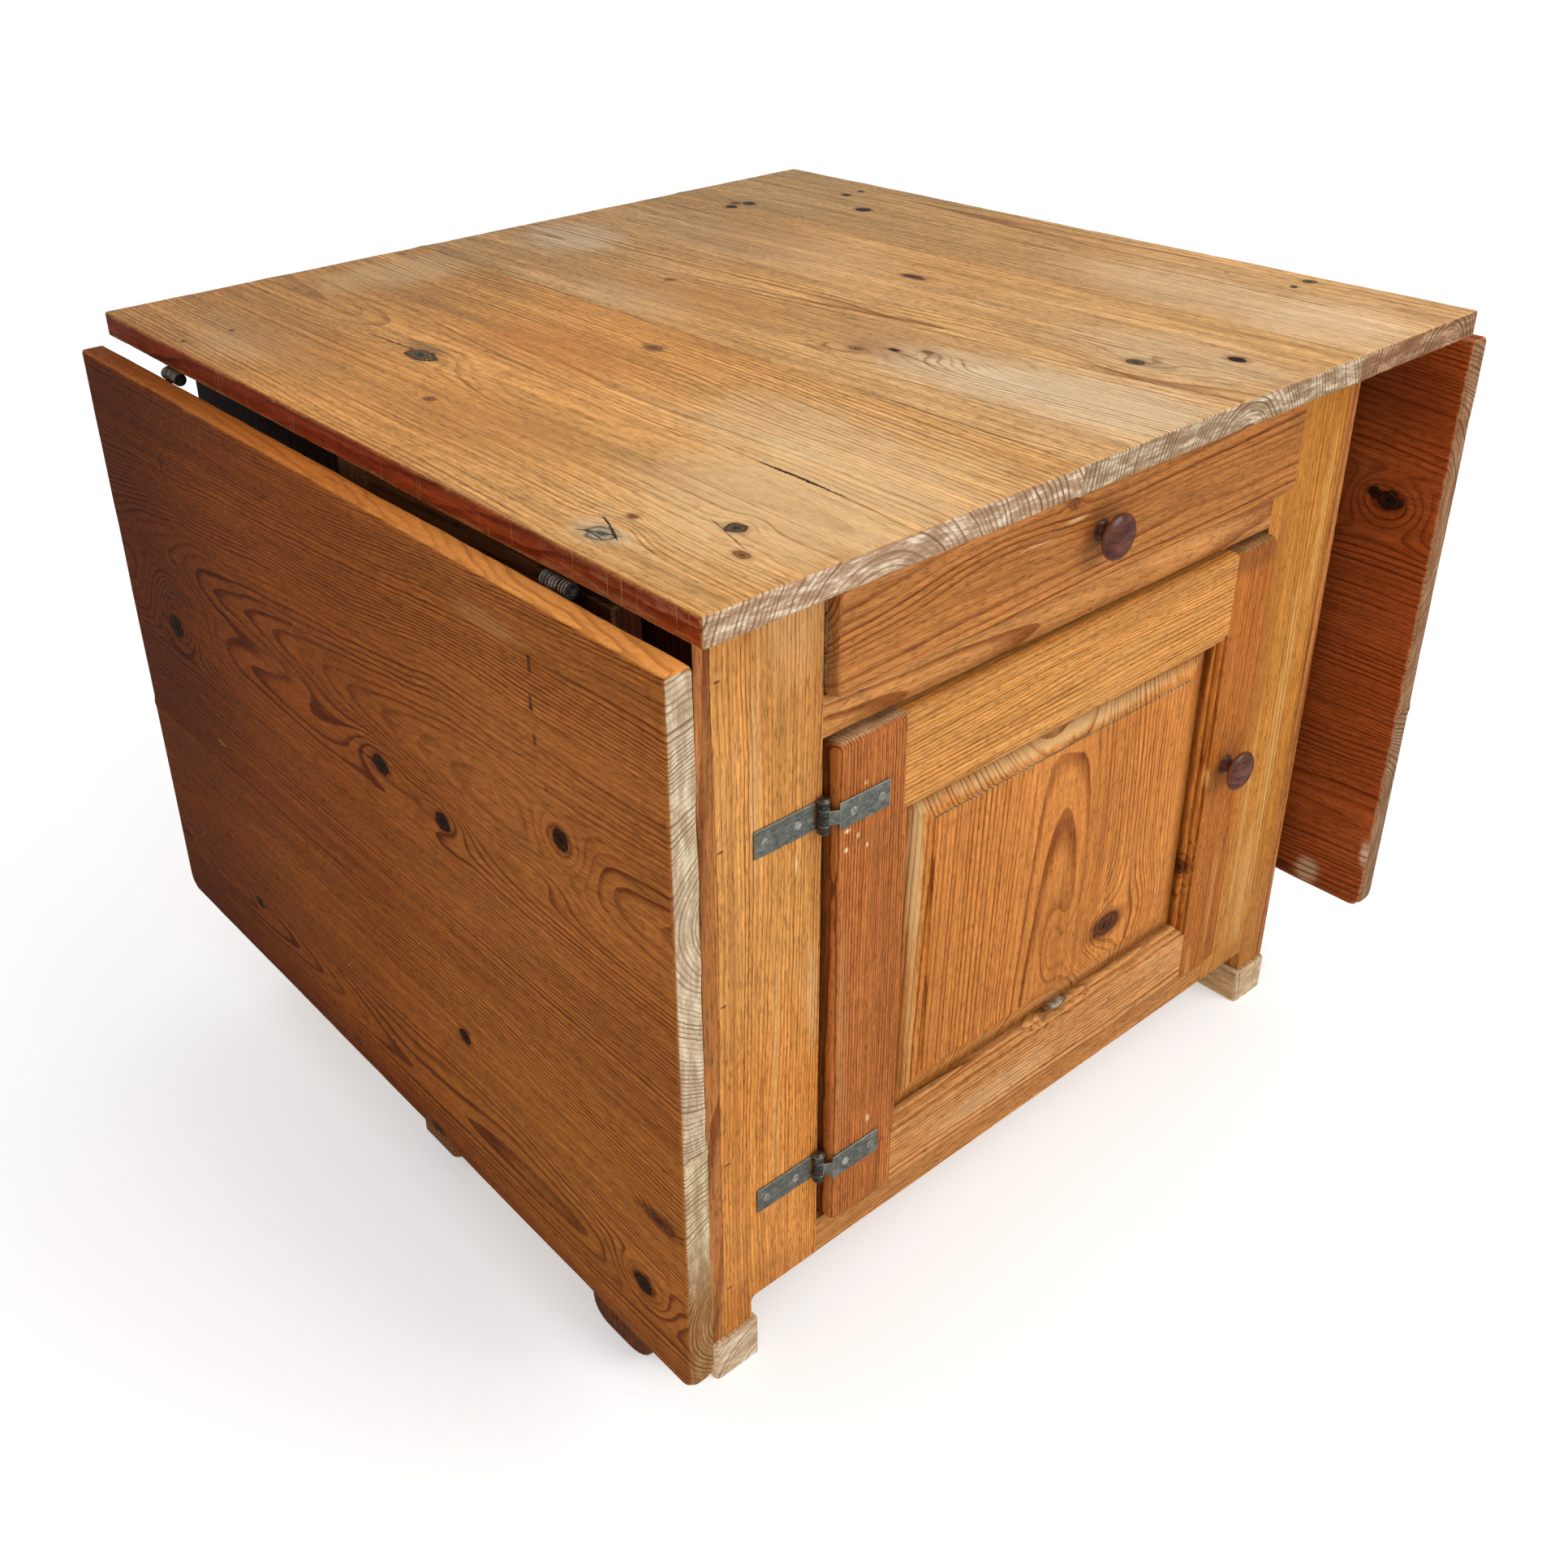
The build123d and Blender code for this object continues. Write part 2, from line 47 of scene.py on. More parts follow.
# =====================================================================
# Small node-graph writer
# =====================================================================
class S:
    """A socket that can be used in sums and products."""

    def __init__(self, g, sock):
        self.g, self.sock = g, sock

    def __add__(self, o): return self.g.math("ADD", self, o)
    def __radd__(self, o): return self.g.math("ADD", o, self)
    def __sub__(self, o): return self.g.math("SUBTRACT", self, o)
    def __rsub__(self, o): return self.g.math("SUBTRACT", o, self)
    def __mul__(self, o): return self.g.math("MULTIPLY", self, o)
    def __rmul__(self, o): return self.g.math("MULTIPLY", o, self)
    def __truediv__(self, o): return self.g.math("DIVIDE", self, o)
    def __neg__(self): return self.g.math("MULTIPLY", self, -1.0)


class Graph:
    def __init__(self, name):
        self.mat = bpy.data.materials.new(name)
        self.mat.use_nodes = True
        self.nt = self.mat.node_tree
        self.nt.nodes.clear()
        tc = self.nt.nodes.new("ShaderNodeTexCoord")
        self.obj = S(self, tc.outputs["Object"])
        self.nrm = S(self, tc.outputs["Normal"])

    def new(self, kind, **props):
        n = self.nt.nodes.new(kind)
        for k, v in props.items():
            setattr(n, k, v)
        return n

    def put(self, sock, v):
        if isinstance(v, S):
            self.nt.links.new(v.sock, sock)
        elif isinstance(v, (tuple, list)):
            v = list(v)
            if len(v) == 3 and len(sock.default_value) == 4:
                v = v + [1.0]
            sock.default_value = v
        else:
            sock.default_value = v

    def math(self, op, a, b=0.0, c=None, clamp=False):
        n = self.new("ShaderNodeMath", operation=op, use_clamp=clamp)
        self.put(n.inputs[0], a)
        if len(n.inputs) > 1:
            self.put(n.inputs[1], b)
        if c is not None:
            self.put(n.inputs[2], c)
        return S(self, n.outputs[0])

    def abs(self, a): return self.math("ABSOLUTE", a)
    def sqrt(self, a): return self.math("SQRT", a)
    def fract(self, a): return self.math("FRACT", a)
    def exp(self, a): return self.math("EXPONENT", a)
    def max(self, a, b): return self.math("MAXIMUM", a, b)
    def min(self, a, b): return self.math("MINIMUM", a, b)
    def pow(self, a, b): return self.math("POWER", a, b)

    def step(self, v, a, b, lo=0.0, hi=1.0):
        """Smooth step of v from lo at a to hi at b."""
        n = self.new("ShaderNodeMapRange", interpolation_type="SMOOTHSTEP", clamp=True)
        self.put(n.inputs["Value"], v)
        if a <= b:
            vals = (a, b, lo, hi)
        else:
            vals = (b, a, hi, lo)
        for k, x in zip(("From Min", "From Max", "To Min", "To Max"), vals):
            n.inputs[k].default_value = x
        return S(self, n.outputs["Result"])

    def lin(self, v, a, b, lo, hi):
        n = self.new("ShaderNodeMapRange", clamp=True)
        self.put(n.inputs["Value"], v)
        for k, x in zip(("From Min", "From Max", "To Min", "To Max"), (a, b, lo, hi)):
            n.inputs[k].default_value = x
        return S(self, n.outputs["Result"])

    def sep(self, v):
        n = self.new("ShaderNodeSeparateXYZ")
        self.put(n.inputs[0], v)
        return [S(self, o) for o in n.outputs]

    def xyz(self, x, y, z):
        n = self.new("ShaderNodeCombineXYZ")
        for s, v in zip(n.inputs, (x, y, z)):
            self.put(s, v)
        return S(self, n.outputs[0])

    def noise(self, vec, detail=2.0, rough=0.5, scale=1.0):
        n = self.new("ShaderNodeTexNoise", noise_dimensions="3D")
        self.put(n.inputs["Vector"], vec)
        n.inputs["Scale"].default_value = scale
        n.inputs["Detail"].default_value = detail
        n.inputs["Roughness"].default_value = rough
        return S(self, n.outputs["Fac"])

    def cells(self, vec, scale=1.0, rand=1.0):
        n = self.new("ShaderNodeTexVoronoi", voronoi_dimensions="3D", feature="F1")
        self.put(n.inputs["Vector"], vec)
        n.inputs["Scale"].default_value = scale
        n.inputs["Randomness"].default_value = rand
        return S(self, n.outputs["Distance"]), S(self, n.outputs["Color"])

    def mix(self, fac, a, b, blend="MIX"):
        n = self.new("ShaderNodeMix", data_type="RGBA", blend_type=blend, clamp_factor=True)
        self.put(n.inputs["Factor"], fac)
        self.put(n.inputs[6], a)
        self.put(n.inputs[7], b)
        return S(self, n.outputs[2])

    def scale_rgb(self, col, k):
        """Colour times a number socket."""
        n = self.new("ShaderNodeVectorMath", operation="SCALE")
        self.put(n.inputs[0], col)
        self.put(n.inputs["Scale"], k)
        return S(self, n.outputs[0])

    def madd(self, v, mul, add):
        n = self.new("ShaderNodeVectorMath", operation="MULTIPLY_ADD")
        self.put(n.inputs[0], v)
        self.put(n.inputs[1], mul)
        self.put(n.inputs[2], add)
        return S(self, n.outputs[0])

    def use(self, group, **ins):
        """Puts in a node group and returns its outputs."""
        n = self.nt.nodes.new("ShaderNodeGroup")
        n.node_tree = GROUPS[group].nt
        for k, v in ins.items():
            self.put(n.inputs[k], v)
        return [S(self, o) for o in n.outputs]

    def attr(self, name):
        n = self.new("ShaderNodeAttribute", attribute_name=name, attribute_type="GEOMETRY")
        return S(self, n.outputs["Fac"])

    def finish(self, color, rough, height=None, dist=0.001, strength=1.0, **fixed):
        b = self.new("ShaderNodeBsdfPrincipled")
        self.put(b.inputs["Base Color"], color)
        self.put(b.inputs["Roughness"], rough)
        for k, v in fixed.items():
            b.inputs[k.replace("_", " ")].default_value = v
        if height is not None:
            bump = self.new("ShaderNodeBump")
            bump.inputs["Strength"].default_value = strength
            bump.inputs["Distance"].default_value = dist
            self.put(bump.inputs["Height"], height)
            self.nt.links.new(bump.outputs[0], b.inputs["Normal"])
        out = self.new("ShaderNodeOutputMaterial")
        self.nt.links.new(b.outputs[0], out.inputs[0])
        return self.mat


# =====================================================================
# Materials
# =====================================================================
KIND = {"f": "NodeSocketFloat", "v": "NodeSocketVector", "c": "NodeSocketColor"}


class Group(Graph):
    """A node group, written once and used by every wood."""

    def __init__(self, name, ins, outs):
        self.nt = bpy.data.node_groups.new(name, "ShaderNodeTree")
        for n, k in ins:
            self.nt.interface.new_socket(n, in_out="INPUT", socket_type=KIND[k])
        for n, k in outs:
            self.nt.interface.new_socket(n, in_out="OUTPUT", socket_type=KIND[k])
        self.gin = self.nt.nodes.new("NodeGroupInput")
        self.gout = self.nt.nodes.new("NodeGroupOutput")

    def i(self, *names):
        got = [S(self, self.gin.outputs[n]) for n in names]
        return got if len(got) > 1 else got[0]

    def o(self, **outs):
        for k, v in outs.items():
            self.put(self.gout.inputs[k], v)

    def coords(self, per_mm, k=0.0):
        """The board's point, seeded, scaled by 1 / per_mm along, across and through."""
        p = self.madd(self.i("Vec"), tuple(1.0 / x for x in per_mm), (k, k * 0.7, k * 1.3))
        n = self.new("ShaderNodeVectorMath", operation="ADD")
        self.put(n.inputs[0], p)
        self.put(n.inputs[1], self.i("Seed"))
        return S(self, n.outputs[0])


def build_groups():
    G = {}
    # the noises that the other groups share, and the slow wander of the grain
    g = Group("wood_warp", [("Vec", "v"), ("Seed", "v"), ("Wander", "f")],
              [("Across", "f"), ("Lift", "f"), ("Wob", "f"), ("Fine", "f"), ("Break", "f"), ("Tone", "f")])
    a = g.sep(g.i("Vec"))[1]
    W = g.i("Wander")
    n1 = g.noise(g.coords((430, 150, 150)), 1.0) - 0.5
    n2 = g.noise(g.coords((105, 32, 32), 5.0), 1.6) - 0.5
    n3 = g.noise(g.coords((22, 7, 7), 9.0), 0.0) - 0.5
    g.o(Across=a + n1 * W + n2 * W * 0.18 + n3 * 0.9, Lift=n2 * 1.5 + n1 * W * 0.25,
        Wob=g.noise(g.coords((10, 9, 9), 2.0), 1.0) - 0.5, Fine=g.noise(g.coords((2.3, 1.7, 2.0), 7.0), 1.0, 0.6),
        Break=g.noise(g.coords((34, 7.5, 7.5), 81.0), 3.0, 0.68) - 0.5, Tone=g.noise(g.coords((300, 70, 70), 31.0), 2.0))
    G["warp"] = g
    # a knot pushes the grain aside and closes rings round itself
    g = Group("wood_knot", [("Vec", "v"), ("Pos", "v"), ("Size", "v"), ("Reach", "f"), ("Push", "f"), ("Rise", "f"),
                            ("Across", "f"), ("Lift", "f"), ("Wob", "f")],
              [("Across", "f"), ("Lift", "f"), ("Q", "f")])
    n = g.new("ShaderNodeVectorMath", operation="SUBTRACT")
    g.put(n.inputs[0], g.i("Vec"))
    g.put(n.inputs[1], g.i("Pos"))
    d = S(g, n.outputs[0])
    n = g.new("ShaderNodeVectorMath", operation="MULTIPLY")
    g.put(n.inputs[0], d)
    g.put(n.inputs[1], g.i("Size"))
    n2_ = g.new("ShaderNodeVectorMath", operation="LENGTH")
    g.put(n2_.inputs[0], S(g, n.outputs[0]))
    q = S(g, n2_.outputs["Value"])
    infl = g.exp(-(q * q) * g.i("Reach"))
    da = g.sep(d)[1]
    g.o(Across=g.i("Across") - da * infl * g.i("Push"), Lift=g.i("Lift") + infl * g.i("Rise"), Q=q + g.i("Wob") * 0.62)
    G["knot"] = g
    # figure with no knot in it
    g = Group("wood_eye", [("Vec", "v"), ("Pos", "v"), ("Size", "v"), ("Rise", "f"), ("Lift", "f")], [("Lift", "f")])
    n = g.new("ShaderNodeVectorMath", operation="SUBTRACT")
    g.put(n.inputs[0], g.i("Vec"))
    g.put(n.inputs[1], g.i("Pos"))
    m_ = g.new("ShaderNodeVectorMath", operation="MULTIPLY")
    g.put(m_.inputs[0], S(g, n.outputs[0]))
    g.put(m_.inputs[1], g.i("Size"))
    dd = g.new("ShaderNodeVectorMath", operation="DOT_PRODUCT")
    g.put(dd.inputs[0], S(g, m_.outputs[0]))
    g.put(dd.inputs[1], S(g, m_.outputs[0]))
    g.o(Lift=g.i("Lift") + g.exp(-S(g, dd.outputs["Value"])) * g.i("Rise"))
    G["eye"] = g
    # growth rings round the pith
    g = Group("wood_rings", [("Vec", "v"), ("Seed", "v"), ("Across", "f"), ("Lift", "f"), ("Pith", "v"), ("Slope", "v"), ("Ring", "f")],
              [("Late", "f")])
    gg, a, b = g.sep(g.i("Vec"))
    px, pz, _ = g.sep(g.i("Pith"))
    sx, sz, _ = g.sep(g.i("Slope"))
    s0, s1, s2 = g.sep(g.i("Seed"))
    u = g.i("Across") - (gg * sx + px)
    v = b - (gg * sz + pz)
    R = g.sqrt(u * u + v * v) + g.i("Lift")
    ring = g.i("Ring")
    R = R + (g.noise(g.xyz(R * (1 / 25.0), s1, s2), 0.0) - 0.5) * (ring * 3.2)
    ph = R / ring
    t = g.fract(ph)
    rv = g.fract(g.math("SINE", g.math("FLOOR", ph) * 12.9898 + s0) * 437.585)
    late = g.step(t, 0.42, 0.92) * g.step(t, 1.0, 0.955)
    g.o(Late=g.pow(late, 1.25) * (0.26 + rv * 0.93))
    G["rings"] = g
    # body colour, tints, streaks and fibre
    g = Group("wood_body", [("Vec", "v"), ("Seed", "v"), ("Late", "f"), ("Tone", "f"), ("Early", "c"), ("LateCol", "c"), ("Warm", "c"), ("Light", "c"),
                            ("Contrast", "f"), ("Patch", "f"), ("Streak", "f"), ("Rough", "f"), ("Break", "f"), ("Wob", "f"), ("Quiet", "f")],
              [("Color", "c"), ("Rough", "f"), ("Height", "f")])
    L = g.i("Late")
    tone = g.i("Tone")
    pt = g.i("Patch")
    col = g.mix(L * g.i("Contrast") * (g.lin(tone, 0.3, 0.65, 1.0, 1.5) * (1.0 - g.step(tone, 0.62, 0.42) * g.i("Quiet"))), g.i("Early"), g.i("LateCol"))
    col = g.mix(g.step(tone, 0.48, 0.72) * 0.5 * pt, col, g.i("Light"))
    col = g.mix(g.step(tone, 0.52, 0.26) * 0.6 * pt, col, g.i("Warm"))
    st = g.noise(g.coords((240, 4.6, 4.6), 41.0), 2.6, 0.62)
    fib = g.noise(g.coords((34, 1.15, 1.15), 51.0), 1.5, 0.6)
    sk = g.i("Streak")
    col = g.scale_rgb(col, (1.0 + (st - 0.5) * 0.95 * sk) * (1.0 + (fib - 0.5) * 0.95))
    col = g.scale_rgb(col, (1.02 + g.i("Break") * 0.42) * (1.0 + g.i("Wob") * 0.24))
    dash = g.step(g.noise(g.coords((9, 0.8, 0.8), 61.0), 0.0), 0.61, 0.71)
    col = g.scale_rgb(col, 1.0 - dash * 0.40)
    rgh = g.i("Rough") + (st - 0.5) * 0.2 + (tone - 0.5) * 0.2 - L * 0.05
    g.o(Color=col, Rough=rgh, Height=L * 0.16 + fib * 0.16 - dash * 0.18 + st * 0.14)
    G["body"] = g
    # a soft mask: rubbed pale, stained or grimy; on some boards a dark one is painted shade
    g = Group("wood_mask", [("Vec", "v"), ("Break", "f"), ("Late", "f"), ("Color", "c"), ("Rough", "f"), ("Pos", "v"), ("Size", "v"),
                            ("Amount", "f"), ("Tint", "c"), ("Hard", "f"), ("Keep", "f"), ("Dull", "f")],
              [("Color", "c"), ("Rough", "f")])
    n = g.new("ShaderNodeVectorMath", operation="SUBTRACT")
    g.put(n.inputs[0], g.i("Vec"))
    g.put(n.inputs[1], g.i("Pos"))
    m_ = g.new("ShaderNodeVectorMath", operation="MULTIPLY")
    g.put(m_.inputs[0], S(g, n.outputs[0]))
    g.put(m_.inputs[1], g.i("Size"))
    dd = g.new("ShaderNodeVectorMath", operation="DOT_PRODUCT")
    g.put(dd.inputs[0], S(g, m_.outputs[0]))
    g.put(dd.inputs[1], S(g, m_.outputs[0]))
    soft = g.exp(-S(g, dd.outputs["Value"]))
    mk = g.step(soft + g.i("Break") * g.i("Hard"), 0.16, 0.85) * g.i("Amount")
    mk = mk * (1.0 - g.i("Late") * g.i("Keep"))
    g.o(Color=g.mix(mk, g.i("Color"), g.i("Tint")), Rough=g.i("Rough") + mk * g.i("Dull"))
    G["mask"] = g
    # the knot's own colours
    g = Group("wood_knot_face", [("Fine", "f"), ("Q", "f"), ("Color", "c"), ("Height", "f"), ("Halo", "c"), ("Inner", "c"),
                                 ("Core", "c"), ("Rim", "f"), ("HaloAmount", "f")],
              [("Color", "c"), ("Height", "f")])
    q = g.i("Q")
    fine = g.i("Fine")
    col = g.mix(g.step(q + (fine - 0.5) * 0.5, 2.1, 0.95) * g.i("HaloAmount"), g.i("Color"), g.i("Halo"))
    rings = g.math("SINE", q * 17.0 + (fine - 0.5) * 4.0) * 0.5 + 0.5
    kc = g.mix(rings * 0.45 + g.step(q + (fine - 0.5) * 0.5, 0.62, 0.1) * 0.75, g.i("Inner"), g.i("Core"))
    kc = g.scale_rgb(kc, 0.45 + fine * 1.1)
    body = g.step(q + (fine - 0.5) * 0.25, 1.03, 0.93)
    col = g.mix(body, col, kc)
    rim = g.step(g.abs(q - 1.0), 0.2, 0.04) * g.i("Rim") * g.step(fine, 0.28, 0.5)
    col = g.mix(rim, col, (0.012, 0.006, 0.004))
    g.o(Color=col, Height=g.i("Height") - rim * 0.5 - body * 0.14)
    G["knot_face"] = g
    # a crack or dark line along the grain
    g = Group("wood_crack", [("Vec", "v"), ("Break", "f"), ("Fine", "f"), ("Color", "c"), ("Height", "f"), ("A0", "f"), ("G0", "f"), ("Mid", "f"), ("Half", "f"),
                             ("Slope", "f"), ("Width", "f"), ("Amount", "f")], [("Color", "c"), ("Height", "f")])
    gg, a, b = g.sep(g.i("Vec"))
    w = g.i("Width")
    off = g.i("Break") * (w * 3.0 + 1.0)
    wide = g.lin(g.i("Fine"), 0.3, 0.7, 0.45, 1.2)
    dist = g.abs(a - g.i("A0") - (gg - g.i("G0")) * g.i("Slope") + off) / (w * wide)
    run = g.step(g.abs(gg - g.i("Mid")) / g.i("Half"), 1.0, 0.7)
    mk = g.step(dist, 1.0, 0.4) * run * g.i("Amount")
    g.o(Color=g.mix(mk, g.i("Color"), (0.028, 0.013, 0.007)), Height=g.i("Height") - mk * 0.9)
    G["crack"] = g
    # a nail head and the stain round it
    g = Group("wood_nail", [("Vec", "v"), ("Fine", "f"), ("Color", "c"), ("Height", "f"), ("Pos", "v"), ("Radius", "f")],
              [("Color", "c"), ("Height", "f")])
    n = g.new("ShaderNodeVectorMath", operation="SUBTRACT")
    g.put(n.inputs[0], g.i("Vec"))
    g.put(n.inputs[1], g.i("Pos"))
    m_ = g.new("ShaderNodeVectorMath", operation="MULTIPLY")
    g.put(m_.inputs[0], S(g, n.outputs[0]))
    g.put(m_.inputs[1], (1.0, 1.0, 0.0))
    ln = g.new("ShaderNodeVectorMath", operation="LENGTH")
    g.put(ln.inputs[0], S(g, m_.outputs[0]))
    q = S(g, ln.outputs["Value"]) / g.i("Radius")
    col = g.mix(g.step(q + (g.i("Fine") - 0.5) * 1.2, 2.6, 0.9) * 0.5, g.i("Color"), (0.06, 0.025, 0.012))
    col = g.mix(g.step(q, 1.05, 0.8), col, (0.03, 0.024, 0.02))
    g.o(Color=col, Height=g.i("Height") - g.step(q, 1.25, 0.9) * 0.6)
    G["nail"] = g
    # scratches, specks and dents, end grain and rubbed arrises
    g = Group("wood_wear", [("Vec", "v"), ("Seed", "v"), ("Late", "f"), ("Fine", "f"), ("Break", "f"), ("Tone", "f"), ("Color", "c"), ("Rough", "f"), ("Height", "f"),
                            ("Light", "c"), ("Scratch", "f"), ("Specks", "f"), ("End", "f"), ("EndCol", "c"), ("EndDark", "c"), ("EndLight", "c"),
                            ("EdgeMm", "f"), ("EdgeW", "f"), ("EdgeCol", "c"), ("Wear", "f")],
              [("Color", "c"), ("Rough", "f"), ("Height", "f")])
    gg, a, b = g.sep(g.i("Vec"))
    s0, s1, s2 = g.sep(g.i("Seed"))
    col, hgt, rgh = g.i("Color"), g.i("Height"), g.i("Rough")
    brk, fine, tone = g.i("Break", "Fine", "Tone")
    for ang, k, lo_, hi_ in ((0.42, 3.0, 0.5, 0.62), (-0.75, 8.0, 0.5, 0.38)):
        cs, sn = math.cos(ang), math.sin(ang)
        uu, vv = gg * cs + a * sn, a * cs - gg * sn
        s_ = g.noise(g.xyz(uu * (1 / 40.0) + (s0 + k), vv * (1 / 0.8), b * 0.02 + s2), 0.0)
        mk = g.step(s_, 0.74, 0.80) * g.step(tone, lo_, hi_) * g.i("Scratch")
        col = g.mix(mk * 0.6, col, g.i("Light"))
        hgt = hgt - mk * 0.4
    d, cc = g.cells(g.coords((33, 27, 27), 111.0))
    c0, c1, c2 = g.sep(cc)
    spot = g.step(d * 27.0, 1.7, 0.6) * g.step(c0, 0.70, 0.78)
    dent = g.step(d * 27.0, 3.6, 1.0) * g.step(c1, 0.55, 0.7)
    col = g.mix(spot * g.i("Specks"), col, (0.07, 0.03, 0.015))
    hgt = hgt - dent * 0.5 - spot * 0.4
    col = g.scale_rgb(col, 1.0 - dent * 0.12)
    L = g.i("Late")
    em = g.step((g.i("EdgeMm") / g.i("EdgeW")) + brk * 2.6, 1.0, 0.1)
    col = g.mix(em * (0.3 + g.step(fine, 0.38, 0.55) * 0.7) * g.i("Wear"), col, g.i("EdgeCol"))
    rgh = rgh + em * 0.07
    # ends
    en = g.noise(g.xyz(b * 0.14 + s0, a * 0.03 + s1, gg * 0.3), 3.0, 0.72)
    ray = g.noise(g.xyz(b * 0.45 + s1, a * 1.3 + s0, gg * 0.5), 1.0, 0.6)
    ec = g.mix(g.step(en, 0.46, 0.66) * 0.9, g.i("EndCol"), g.i("EndLight"))
    ec = g.mix(g.step(en, 0.5, 0.32) * 0.5, ec, g.i("EndDark"))
    ec = g.mix(L, ec, g.scale_rgb(g.i("EndDark"), 0.8))
    ec = g.scale_rgb(ec, (0.78 + fine * 0.44) * (0.84 + ray * 0.32))
    end = g.i("End")
    col = g.mix(end, col, ec)
    g.o(Color=col, Rough=rgh + end * 0.18, Height=hgt + end * (fine * 0.3 + L * 0.5))
    G["wear"] = g
    return G


GROUPS = build_groups()
# small corrections of each wood's tone
CAL = {"pine_top_left": (0.985, 0.960, 0.850), "pine_top_middle": (0.970, 1.020, 1.060), "pine_top_right": (1.020, 1.040, 1.048),
       "pine_left_leaf_upper": (0.893, 0.820, 0.600), "pine_left_leaf_lower": (0.985, 0.935, 0.600),
       "pine_right_leaf_upper": (0.92, 0.88, 0.8), "pine_right_leaf_lower": (0.86, 0.84, 0.78),
       "pine_frame_stile_left": (0.951, 0.921, 0.800), "pine_frame_stile_right": (0.893, 0.836, 0.686), "pine_drawer_front": (0.883, 0.800, 0.679),
       "pine_rails": (0.900, 0.865, 0.760), "pine_door_stile_left": (0.912, 0.834, 0.669), "pine_door_stile_right": (0.890, 0.775, 0.470),
       "pine_door_rail_top": (0.902, 0.892, 0.772), "pine_door_rail_bottom": (0.960, 0.941, 0.828), "pine_door_panel": (0.873, 0.853, 0.702)}


